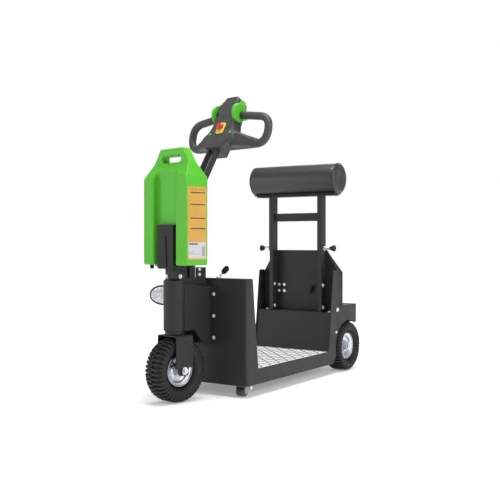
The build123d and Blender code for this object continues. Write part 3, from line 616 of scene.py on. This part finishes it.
bolts("yoke_bolts", "steering", yoke_rows + [((-0.017, -0.025, 0.508), FRONT, 0.0052)], STEERED)
bolts("arm_bolts", "steering", arm_rows, STEERED)
for node, body, place, facing in RIMS[1:]:
    side = 1 if "left" in node else -1
    cap = [((MIDDLE + side * 0.225, REAR_AXLE, REAR_RADIUS), (side, 0, 0), 0.0095)]
    bolts(node.replace("rim", "axle_cap"), "chassis", cap)

# Bright turned steel: both axles, which keep their CAD shapes, and the key switch, whose barrel is turned
# anew together with the key.
polished = Finish("turned_steel", Metallic=1.0, Base_Color=(0.62, 0.62, 0.63))
polished.uneven(0.22, 0.16, 60.0, 3.0)
for node in ("rear_axle", "front_axle", "key_switch"):
    dress(node, polished, 0.0005)

# Drive block: the cast housing of motor, gears and brake between the carrier plates, painted black and
# rough from the mould. It keeps its CAD shape, as does the steering stem, which has the same paint.
casting = Finish("painted_casting", Base_Color=(0.02, 0.02, 0.021), Roughness=0.7)
casting.relief(casting.noise(120.0, 4.0), 0.0006, 0.6)
dress("drive_unit", casting, 0.002)
dress("steering_stem", casting, 0.0005)

# Head tube: a thick painted tube with a chamfered rim and a bearing ring below, welded to its bracket. The
# weld beads run up both sides where the bracket's cheeks meet it.
dress("head_tube", charcoal, 0.0008)
beads = Growth("weld_beads", {"Radius": "NodeSocketFloat"})
drop = beads.node("GeometryNodeMeshUVSphere", {}, {"Segments": 8, "Rings": 5, "Radius": beads.given("Radius")})
beads.strew(beads.given("Geometry"), drop, Scale=(1.0, 1.0, 0.7))
seam = bpy.data.meshes.new("weld_places")
seam.from_pydata([(MIDDLE + side * 0.0385, wall(-0.202) + 0.0205, 0.2935 + 0.0022 * number)
                  for side in SIDES for number in range(80)], [], [])
beads.grow("head_tube_welds", seam, charcoal, "chassis", "charcoal_paint", None, 60, Radius=0.0026)

# Work lamp: an oval black housing with a rounded back and a pale front with a pressed grid, which stands for
# lens and reflector in one: its pale colour is a painted reflection. It sits on its bracket at the front wall, on
# the vehicle's right.
moulding_black = Finish("black_moulding", Base_Color=(0.0085, 0.0085, 0.009), Specular_IOR_Level=0.28)
moulding_black.uneven(0.42, 0.14, 24.0, 3.0)
moulding_black.relief(moulding_black.noise(700.0, 2.0), 0.00012, 0.5)
lamp_low, lamp_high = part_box("headlamp")
lamp_middle = (lamp_low + lamp_high) / 2
LAMP_HALF = ((lamp_high.x - lamp_low.x) / 2, (lamp_high.z - lamp_low.z) / 2)


def oval(name, rows, steps, place):
    """Oval rings lofted from rows of (inset, y) points, with a closed cap at both ends."""
    form = bmesh.new()
    skin_between(form, [
        [place @ Vector(((LAMP_HALF[0] - inset) * cosine, y, (LAMP_HALF[1] - inset) * sine))
         for cosine, sine in circle(1.0, steps)] for inset, y in rows])
    return closed(form, name)


lamp_place = moved(lamp_middle.x, lamp_low.y, lamp_middle.z)
shell_rows = [(0.0075, 0.0030), (0.0055, 0.0004), (0.0020, 0.0), (0.0, 0.0020), (0.0, 0.0140), (0.0030, 0.0260),
              (0.0100, 0.0350), (0.0200, 0.0400), (0.0300, 0.0418)]
shell = oval("lamp_shell", shell_rows, 72, lamp_place)
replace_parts(settle("lamp_shell", shell, moulding_black, "chassis", 50), "headlamp")
# The front's pale colour is a painted reflection of the chromed reflector behind the lens; the darker lines
# between the grid's cells are its pressed pattern.
glass = Finish("lamp_glass", Base_Color=(0.55, 0.57, 0.60), Roughness=0.16, Coat_Weight=0.8, Metallic=0.15)
lamp_grid = glass.node("ShaderNodeTexVoronoi", {"feature": "DISTANCE_TO_EDGE"}, {
    "Vector": glass.place, "Scale": 62.0})
glass.vary(Base_Color=glass.colour_mix(lamp_grid * 2.2, (0.44, 0.45, 0.48), (0.72, 0.74, 0.77)))
glass.relief(lamp_grid, 0.0006, 0.7)
lens_rows = [(0.0072, 0.0032), (0.0080, 0.0012), (0.0130, 0.0006), (0.0260, 0.0002), (0.0380, 0.0)]
lens = oval("lamp_front", lens_rows, 72, lamp_place)
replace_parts(settle("lamp_front", lens, glass, "chassis", 60), "lamp_lens")
pivot_depth = (lamp_high.y + wall(0)) / 2
pivot = [((MIDDLE - 0.146 + side * 0.020, pivot_depth, 0.421), (side, 0, 0), 0.0048) for side in SIDES]
bolts("lamp_bracket_bolts", "chassis", pivot)

# Key: a flat steel blade with a black moulded bow, pushed into the switch on top of the column, leaning to
# the side as it hangs loosely in the lock.
key_low, key_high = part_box("key_switch")
key_foot = Vector(((key_low.x + key_high.x) / 2, (key_low.y + key_high.y) / 2, 0.4990))
lean = moved(*key_foot) @ spun(48, "Y")
barrel_line = [(0.0, 0.0), (0.0, 0.0112), (0.0062, 0.0112), (0.0074, 0.0100), (0.0074, 0.0)]
upright = moved(key_foot.x, key_foot.y, 0.494) @ spun(-90, "Y")
barrel = lathe_piece("key_barrel", barrel_line, 40, upright, polished, "chassis")
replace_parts(barrel, "key_switch")
blade_line = softened(mirrored((0.0036, 0.0), (0.0036, 0.030)), 0.001)
flat_piece("key_blade", blade_line, -0.0010, 0.0010, lean, polished, "chassis")
bow_line = softened(mirrored((0.0065, 0.024), (0.0125, 0.034), (0.0125, 0.058), (0.0070, 0.064)), 0.005)
bow = flat_piece("key_bow", bow_line, -0.0032, 0.0032, lean, moulding_black, "chassis")
round_edges(bow, 0.0012, 2, 30.0)
ring_place = lean @ moved(0.0, 0.0, 0.058) @ spun(90, "Z")
ring_line = [(-0.0007, 0.0078), (-0.0007, 0.0092), (0.0007, 0.0092), (0.0007, 0.0078)]
lathe_piece("key_ring", ring_line, 32, ring_place, polished, "chassis", 40)

# Anti-tip rollers: grey moulded rollers on pins in zinc-plated brackets, low on both sides at the front.
# Each one is turned with a groove beside its hub and rounded shoulders.
roller_grey = Finish("roller_grey", Base_Color=(0.055, 0.055, 0.057), Roughness=0.5)
roller_grey.uneven(0.44, 0.16, 40.0)
dull_zinc = Finish("dull_zinc", Metallic=0.9, Base_Color=(0.30, 0.30, 0.31))
dull_zinc.uneven(0.34, 0.20, 50.0, 3.0)
for node in ("roller_bracket_left", "roller_bracket_right"):
    dress(node, dull_zinc, 0.0006)
for node in ("roller_left", "roller_right"):
    low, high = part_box(node)
    half = (high.x - low.x) / 2
    line = [(-half, 0.0052), (-half, 0.0110), (-half + 0.0016, 0.0125), (-half + 0.0016, 0.0150),
            (-half, 0.0165), (-half + 0.0022, 0.0187), (-half + 0.0050, 0.0190)]
    place = moved(*((low + high) / 2))
    tread = lathe_piece(node + "_tread", both_sides(line), 56, place, roller_grey, node)
    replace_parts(tread, node)


def moulded(name, nodes, finish, body, width, segments):
    """A copy of CAD nodes as one piece with merged faces and rounded edges, in their place."""
    form = bmesh.new()
    for node in nodes:
        form.from_mesh(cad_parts[node].data)
    bmesh.ops.remove_doubles(form, verts=form.verts, dist=0.00001)
    bmesh.ops.dissolve_limit(form, angle_limit=math.radians(1.5), verts=form.verts, edges=form.edges)
    piece = settle(name, poured(form, name), finish, body, 30)
    round_edges(piece, width, segments, 25.0, True)
    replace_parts(piece, *nodes)


def blended(name, mesh, voxel, rounds, finish, body, slot, *nodes):
    """One soft skin over a closed form: voxels melt its parts together and smoothing rounds its edges."""
    blank = placed(name + "_blank", mesh)
    grid = blank.modifiers.new("skin", "REMESH")
    grid.mode = "VOXEL"
    grid.voxel_size = voxel
    flow = blank.modifiers.new("flow", "SMOOTH")
    flow.factor = 0.5
    flow.iterations = rounds
    skin = finished(blank)
    bpy.data.objects.remove(blank)
    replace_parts(settle(name, skin, finish, body, 60), *nodes)


# Battery: a green rotationally moulded case with wide soft edges, a sloping shoulder, a hand slot with
# finger waves at the top and a recess down the front. Its two labels carry bars and grey fields only.
green = Finish("battery_green", Specular_IOR_Level=0.26)
green.uneven(0.31, 0.14, 18.0, 3.0)
green.mottled((0.074, 0.400, 0.020), (0.092, 0.460, 0.028), 4.0, 2.0)
green.relief(green.noise(520.0, 2.0), 0.00022, 0.6)
case_form = bmesh.new()
case_form.from_mesh(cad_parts["battery"].data)
blended("battery_case", closed(case_form, "battery_case"), 0.0028, 20, green, "steering",
        "green_plastic", "battery")
BATTERY_SIDE = 0.129
waves = Growth("finger_waves", {"Radius": "NodeSocketFloat", "Depth": "NodeSocketFloat"})
wave = waves.node("GeometryNodeMeshCylinder", {}, {
    "Vertices": 20, "Radius": waves.given("Radius"), "Depth": waves.given("Depth")})
waves.strew(waves.given("Geometry"), wave, Rotation=(math.pi / 2, 0.0, 0.0))
grip_places = bpy.data.meshes.new("finger_places")
grip_places.from_pydata([(-0.036 + 0.018 * number, 0.0065, 1.0000) for number in range(5)], [], [])
waves.grow("battery_finger_waves", grip_places, green, "steering", "green_plastic", STEERED, 60,
           Radius=0.0072, Depth=0.040)
orange = Finish("orange_label", Roughness=0.38)
orange.mottled((0.50, 0.275, 0.045), (0.57, 0.315, 0.056), 16.0, 3.0)
pale = Finish("pale_label", Base_Color=(0.50, 0.49, 0.52), Roughness=0.4)
pale.uneven(0.34, 0.12, 30.0)
ink = Finish("label_ink", Base_Color=(0.03, 0.026, 0.02), Roughness=0.5)
ink.uneven(0.46, 0.1, 60.0)
faded = Finish("label_grey", Base_Color=(0.30, 0.29, 0.32), Roughness=0.5)
faded.uneven(0.46, 0.1, 60.0)
LABELS = [
    # name, material, v from, v to, z from, z to, how far it stands off the case
    ("label_orange", orange, -0.043, 0.057, 0.577, 0.866, 0.0002),
    ("label_pale", pale, -0.040, 0.054, 0.583, 0.6465, 0.0003),
    ("label_pale_head", ink, -0.036, 0.010, 0.6365, 0.6420, 0.0004),
    ("label_field_left", faded, -0.036, -0.010, 0.6060, 0.6085, 0.0004),
    ("label_field_middle", faded, -0.036, 0.022, 0.5985, 0.6005, 0.0004),
    ("label_field_right", faded, 0.032, 0.050, 0.5900, 0.6300, 0.0004),
]
for number, z in enumerate((0.842, 0.795, 0.741, 0.700)):
    LABELS.append((f"label_bar_{number + 1}", ink, -0.028, 0.050, z - 0.0021, z + 0.0021, 0.0004))
for number in range(4):
    spot = -0.018 + 0.020 * number
    LABELS.append((f"label_tick_{number + 1}", ink, spot - 0.0035, spot + 0.0035, 0.8530, 0.8560, 0.0004))
for name, finish, v0, v1, z0, z1, off in LABELS:
    outline = softened([(v0, z0), (v1, z0), (v1, z1), (v0, z1)], min(0.003, (z1 - z0) * 0.4), 3)
    place = STEERED @ moved(BATTERY_SIDE, 0, 0) @ spun(90, "Z")
    flat_piece(name, outline, -off, 0.0004, place, finish, "steering", 40)

# Battery tower: a black moulded dock under and in front of the battery, with a tapering groove down its
# face and two screws in it.
moulded("tower_shell", ["battery_tower"], moulding_black, "steering", 0.0028, 3)
TOWER_FACE = STEERED @ moved(0, -0.048, 0)
groove_line = softened([(-0.0095, 0.5445), (0.0105, 0.5445), (0.0040, 0.672), (-0.0010, 0.672)], 0.002)
flat_piece("tower_rib", groove_line, -0.0032, 0.001, TOWER_FACE, moulding_black, "steering")
bolts("tower_screws", "steering", [((0.002, 0.0, z), FRONT, 0.0026) for z in (0.684, 0.602)], TOWER_FACE,
      moulding_black)
stub_line = softened([(0.0, 0.0), (0.0, 0.0085), (0.016, 0.0085), (0.016, 0.0)], 0.0015, 2)
for name, u in (("left", 0.0968), ("right", -0.0968)):
    upright = STEERED @ moved(u, -0.034, 0.5545) @ spun(90, "Y")
    lathe_piece(f"tower_foot_{name}", stub_line, 28, upright, moulding_black, "steering")

# Tiller arm foot: a black block over the yoke, which both bars of the arm are bolted to. It is the CAD
# node's own shape with rounded edges.
moulded("arm_foot_block", ["arm_foot"], moulding_black, "steering", 0.0025, 3)

# Control head and hand loop: one black soft-touch moulding. The loop's tube runs out of the head's bosses and
# flows into the wing behind its foot, so all of them are formed together and smoothed as one skin.
soft_touch = Finish("soft_touch", Specular_IOR_Level=0.4)
soft_touch.uneven(0.48, 0.16, 20.0, 3.0)
soft_touch.mottled((0.037, 0.0355, 0.038), (0.050, 0.048, 0.051), 11.0, 3.0)
soft_touch.relief(soft_touch.noise(900.0, 2.0), 0.00015, 0.6)
HEAD = STEERED @ moved(0, 0.227, 1.0372) @ spun(-30.4, "X")
HEAD_SECTIONS = [
    # height along the arm, half width, front, back
    (0.000, 0.046, -0.0150, 0.034), (0.030, 0.066, -0.0135, 0.036), (0.056, 0.088, -0.0120, 0.040),
    (0.074, 0.088, -0.0112, 0.044), (0.094, 0.074, -0.0108, 0.048), (0.118, 0.065, -0.0130, 0.050),
    (0.146, 0.058, -0.0185, 0.044), (0.176, 0.0530, -0.024, 0.044), (0.215, 0.0490, -0.028, 0.047),
    (0.244, 0.0465, -0.0268, 0.042), (0.256, 0.0435, -0.0235, 0.036), (0.264, 0.0370, -0.0160, 0.024)]
LOOP = HEAD @ moved(0, 0.063, 0.048) @ spun(20.4, "X")
WING_SECTIONS = [
    # place across, lowest, highest, rear, front
    (0.000, 0.000, 0.064, -0.018, 0.060), (0.050, 0.000, 0.064, -0.018, 0.060),
    (0.078, 0.000, 0.064, -0.018, 0.058), (0.105, 0.000, 0.058, -0.018, 0.048),
    (0.135, 0.000, 0.047, -0.017, 0.033), (0.178, 0.000, 0.034, -0.016, 0.018)]
LOOP_CORNERS = [(0.034, 0.152), (0.231, 0.124), (0.226, 0.012)]
LOOP_TUBE = 0.0172
LOOP_BEND = 0.056
BOSS = 0.024
BOSS_PLACE = (-0.005, 0.188)
hand_form = bmesh.new()
skin_between(hand_form, [
    [HEAD @ Vector((u, n, t)) for u, n in softened(mirrored((half, front), (half, back)), 0.010, 4)]
    for t, half, front, back in HEAD_SECTIONS])
clamp = softened(mirrored((0.031, 0.020), (0.031, 0.060)), 0.006, 3)
skin_between(hand_form, [[HEAD @ Vector((u, n, t)) for u, n in clamp] for t in (-0.001, 0.046)])
for side in SIDES:
    wing_rings = []
    for x, low, high, rear, front in WING_SECTIONS:
        ring = softened([(rear, low), (front, low), (front, high), (rear, high)], 0.014, 4)
        wing_rings.append([LOOP @ Vector((side * x, -d, y)) for d, y in ring])
    skin_between(hand_form, wing_rings)
    skin_between(hand_form, [
        [HEAD @ Vector((side * u, BOSS_PLACE[0] + a, BOSS_PLACE[1] + b)) for a, b in circle(BOSS, 32)]
        for u in (0.030, 0.056)])
half_path = [LOOP_CORNERS[0]]
for corner, before, after in ((1, 0, 2), (2, 1, None)):
    here = Vector(LOOP_CORNERS[corner])
    back_to = (Vector(LOOP_CORNERS[before]) - here).normalized()
    on_to = (Vector(LOOP_CORNERS[after]) - here).normalized() if after else Vector((-1.0, 0.0))
    for step in range(13):
        part = step / 12
        half_path.append(tuple((here + back_to * LOOP_BEND) * (1 - part) ** 2 + here * 2 * part * (1 - part)
                               + (here + on_to * LOOP_BEND) * part ** 2))
path = half_path + [(-x, y) for x, y in reversed(half_path)]
tube = []
for index, (x, y) in enumerate(path):
    along = (Vector(path[min(index + 1, len(path) - 1)]) - Vector(path[max(index - 1, 0)])).normalized()
    tube.append([LOOP @ Vector((x - along.y * out, -up, y + along.x * out)) for out, up in circle(LOOP_TUBE, 24)])
skin_between(hand_form, tube)
blended("hand_moulding", closed(hand_form, "hand_moulding"), 0.0026, 8, soft_touch, "steering",
        "grip_rubber", "control_head", "hand_loop")
HEAD_FACE = [(0.0, -0.0150), (0.090, -0.0105), (0.118, -0.0130), (0.215, -0.0280), (0.263, -0.0240)]


def face_depth(t):
    """Depth of the head's front face at a height along the arm."""
    for (t0, n0), (t1, n1) in zip(HEAD_FACE, HEAD_FACE[1:]):
        if t <= t1:
            return n0 + (n1 - n0) * (t - t0) / (t1 - t0)
    return HEAD_FACE[-1][1]


def face_panel(name, outline, proud, thick, finish, edge=0.0012):
    """A panel that follows the head's front face: a (u, t) outline, standing proud of it."""
    form = bmesh.new()
    skin_between(form, [[HEAD @ Vector((u, face_depth(t) - proud + depth, t)) for u, t in outline]
                        for depth in (0.0, thick)])
    round_edges(settle(name, closed(form, name), finish, "steering", 35), edge)


cap_plate = Finish("head_cap", Base_Color=(0.022, 0.022, 0.023), Roughness=0.4)
cap_plate.uneven(0.34, 0.14, 24.0, 3.0)
neck_line = softened(mirrored((0.0485, 0.168), (0.0440, 0.215), (0.0405, 0.242)), 0.006, 3)
foot_line = softened(mirrored((0.0420, 0.004), (0.0600, 0.030), (0.0790, 0.056), (0.0780, 0.074), (0.0650, 0.094),
                              (0.0560, 0.122), (0.0450, 0.156)), 0.008, 3)
top_line = softened(mirrored((0.0420, 0.2440), (0.0370, 0.2690)), 0.014, 4)
face_panel("head_cover", neck_line, 0.0026, 0.006, soft_touch)
face_panel("head_face", foot_line, 0.0022, 0.006, soft_touch)
face_panel("head_top", top_line, 0.0005, 0.056, cap_plate, 0.006)

# Stop button: a red mushroom on a black collar, over a yellow plate that curves with the head's face. Below
# it, on both sides of the middle line, is a small green push button.
yellow = Finish("yellow_plate", Base_Color=(0.82, 0.60, 0.07), Roughness=0.4)
yellow.uneven(0.34, 0.14, 40.0)
red = Finish("button_red", Base_Color=(0.55, 0.020, 0.016), Roughness=0.24, Coat_Weight=0.4)
red.uneven(0.2, 0.1, 60.0)
tag_line = softened([(-0.0200, 0.078), (0.0250, 0.078), (0.0250, 0.130), (-0.0200, 0.130)], 0.012, 4)
face_panel("stop_plate", tag_line, 0.0066, 0.006, yellow, 0.0005)
BUTTON = HEAD @ moved(0, 0, 0.110) @ spun(-90, "Z")
mushroom_line = softened([(0.0060, 0.0), (0.0060, 0.0098), (0.0205, 0.0098), (0.0215, 0.0172), (0.0262, 0.0178),
                          (0.0305, 0.0150), (0.0328, 0.0085), (0.0335, 0.0)], 0.0022, 3)
button = lathe_piece("stop_mushroom", mushroom_line, 48, BUTTON, red, "steering", 50)
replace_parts(button, "stop_button")
collar_line = softened([(0.0080, 0.0), (0.0080, 0.0140), (0.0155, 0.0140), (0.0170, 0.0105), (0.0170, 0.0)],
                       0.001, 2)
lathe_piece("stop_collar", collar_line, 40, BUTTON, moulding_black, "steering")
push_line = softened([(0.0080, 0.0), (0.0080, 0.0065), (0.0165, 0.0065), (0.0180, 0.0050), (0.0180, 0.0)],
                     0.001, 2)
PUSH = HEAD @ moved(0.0, 0, 0.078) @ spun(-90, "Z")
for name, u in (("left", 0.066), ("right", -0.050)):
    lathe_piece(f"green_push_{name}", push_line, 32, PUSH @ moved(0.0, u, 0.0), green,
                "steering")

# Thumb wheels: green moulded discs on both bosses, round the loop's tube, each with two curved paddles that
# the thumb pushes for forward and reverse.
DISC_AT = HEAD @ moved(0, *BOSS_PLACE)
discs = bmesh.new()
for side in SIDES:
    flip = Matrix.Scale(side, 4, LEFT)
    disc_line = softened([(0.0540, 0.0), (0.0540, 0.0400), (0.0565, 0.0420), (0.0655, 0.0420), (0.0700, 0.0380),
                          (0.0700, 0.0300), (0.0665, 0.0270), (0.0665, 0.0)], 0.0016, 3)
    discs.from_mesh(turned("disc_side", disc_line, 64, DISC_AT @ flip))
    for angle, reach in ((4, 0.058), (-84, 0.056)):
        paddle = softened([(-0.0085, 0.030), (0.0085, 0.030), (0.0120, reach - 0.008), (0.0060, reach),
                           (-0.0095, reach - 0.004)], 0.005, 4)
        spin = DISC_AT @ spun(angle, "X") @ spun(90, "Z")
        near, far = sorted((-side * 0.0545, -side * 0.0690))
        discs.from_mesh(prism("paddle", paddle, near, far, spin))
bmesh.ops.recalc_face_normals(discs, faces=discs.faces)
disc_mesh = poured(discs, "thumb_discs")
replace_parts(settle("thumb_discs", disc_mesh, green, "steering", 35), "thumb_wheels")

# Plungers: a steel stem through the frame's tube with a flared black knob, one on each side. They lock the
# height of the back-rest.
for name, side in (("left", 1), ("right", -1)):
    place = moved(MIDDLE + side * 0.1535, wall(0.787), 0.617) @ Matrix.Scale(side, 4, LEFT)
    stem_line = softened([(0.0, 0.0), (0.0, 0.0125), (0.0065, 0.0125), (0.0065, 0.0095), (0.0200, 0.0095),
                          (0.0200, 0.0072), (0.0480, 0.0072), (0.0480, 0.0)], 0.0006, 2)
    lathe_piece(f"plunger_stem_{name}", stem_line, 32, place, polished, "backrest")
    knob_line = softened([(0.0360, 0.0), (0.0360, 0.0085), (0.0430, 0.0095), (0.0510, 0.0135), (0.0570, 0.0160),
                          (0.0620, 0.0150), (0.0645, 0.0095), (0.0640, 0.0)], 0.0016, 3)
    knob = lathe_piece(f"plunger_knob_{name}", knob_line, 36, place, moulding_black, "backrest",
                       40)
    if side > 0:
        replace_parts(knob, "plungers")

# Pad: a foam roll in black vinyl on the frame's plate. Its cover is a tube closed by two round ends, blown
# against its seams by a short cloth simulation, with piping sewn round both ends.
vinyl = Finish("black_vinyl", Specular_IOR_Level=0.55)
vinyl.uneven(0.33, 0.14, 10.0, 3.0)
vinyl.mottled((0.014, 0.014, 0.015), (0.020, 0.020, 0.021), 2.6, 3.0)
vinyl.relief(vinyl.noise(650.0, 3.0, 0.6), 0.00025, 0.55)
pad_low, pad_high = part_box("pad")
pad_middle = (pad_low + pad_high) / 2
pad_half = (pad_high.x - pad_low.x) / 2
pad_radius = (pad_high.z - pad_low.z) / 2
PAD_AT = moved(*pad_middle)
roll_line = softened(both_sides([(-pad_half + 0.005, 0.0), (-pad_half + 0.001, pad_radius - 0.0130),
                                 (-pad_half + 0.012, pad_radius - 0.0035)]), 0.010, 5)
pad_piece = placed("pad_cover", turned("pad_roll", roll_line, 96, PAD_AT))
bpy.context.view_layer.objects.active = pad_piece
weave = pad_piece.modifiers.new("weave", "REMESH")
weave.mode = "VOXEL"
weave.voxel_size = 0.0055
rest = finished(pad_piece)
pad_piece.modifiers.clear()
pad_piece.data = rest
MOST_SWELL = 0.004
held = pad_piece.vertex_groups.new(name="held")
seam = pad_half - 0.008
held.add([v.index for v in rest.vertices
          if v.co.z < pad_low.z + 0.012 or abs(abs(v.co.x - pad_middle.x) - seam) < 0.004], 1.0, "REPLACE")
cloth = pad_piece.modifiers.new("cloth", "CLOTH")
cloth.settings.quality = 5
cloth.settings.mass = 0.3
cloth.settings.tension_stiffness = 40
cloth.settings.compression_stiffness = 40
cloth.settings.bending_stiffness = 2.0
cloth.settings.use_pressure = True
cloth.settings.uniform_pressure_force = 3.0
cloth.settings.vertex_group_mass = "held"
cloth.settings.effector_weights.gravity = 0.0
for number in range(1, 15):
    bpy.context.scene.frame_set(number)
blown = finished(pad_piece)
for before, after in zip(rest.vertices, blown.vertices):
    swell = after.co - before.co
    if swell.length > MOST_SWELL:
        after.co = before.co + swell.normalized() * MOST_SWELL
pad_piece.modifiers.clear()
pad_piece.data = blown
bpy.context.scene.frame_set(1)
settled = pad_piece.data
bpy.data.objects.remove(pad_piece)
pad_piece = settle("pad_cover", settled, vinyl, "backrest", 60)
rounder = pad_piece.modifiers.new("rounder", "SMOOTH")
rounder.factor = 0.5
rounder.iterations = 3
finer = pad_piece.modifiers.new("finer", "SUBSURF")
finer.levels = 1
finer.render_levels = 1
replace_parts(pad_piece, "pad")
PIPING = 0.0019
for name, side in (("left", 1), ("right", -1)):
    piping = [(side * (pad_half - 0.0115) + a, pad_radius - 0.0050 + b) for a, b in circle(PIPING, 10)]
    lathe_piece(f"pad_piping_{name}", piping, 120, PAD_AT, vinyl, "backrest", 60)
board_end = pad_half - 0.020
board = softened(mirrored((board_end, pad_low.z + 0.0010), (board_end, pad_low.z + 0.0075)), 0.002, 2)
flat_piece("pad_board", board, -0.038, 0.038, moved(MIDDLE, wall(0.787), 0), moulding_black,
           "backrest")

# Service panel on the back plate: a thin painted steel cover over the electrics, held by the four bolts on
# one side and by the latch on the other.
panel_line = softened([(-0.136, 0.306), (0.120, 0.306), (0.120, 0.506), (-0.136, 0.506)], 0.004, 3)
flat_piece("service_panel", panel_line, -0.0014, 0.001, moved(MIDDLE, wall(0.820), 0), charcoal,
           "chassis")

# Latch on the back plate: a small black quarter-turn knob on a washer, beside the four bolts. Its wing stands
# a little out of the upright.
LATCH = moved(MIDDLE + 0.068, wall(0.820), 0.410)
latch_line = softened([(0.0, 0.0), (0.0, 0.0150), (0.0022, 0.0150), (0.0030, 0.0105), (0.0090, 0.0100),
                       (0.0115, 0.0080), (0.0115, 0.0)], 0.0008, 2)
lathe_piece("latch_base", latch_line, 36, LATCH @ spun(-90, "Z"), moulding_black, "chassis")
wing_line = softened(mirrored((0.0052, -0.0230), (0.0075, 0.0), (0.0052, 0.0230)), 0.004, 3)
flat_piece("latch_wing", wing_line, -0.0190, -0.0100, LATCH @ spun(24, "Y"), moulding_black, "chassis")

# Rear hood: a black moulded cover over the back of the machine, behind the back plate. It is the CAD node's
# own shape with rounded edges.
moulded("hood_cover", ["rear_hood"], moulding_black, "chassis", 0.0020, 3)

low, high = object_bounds()
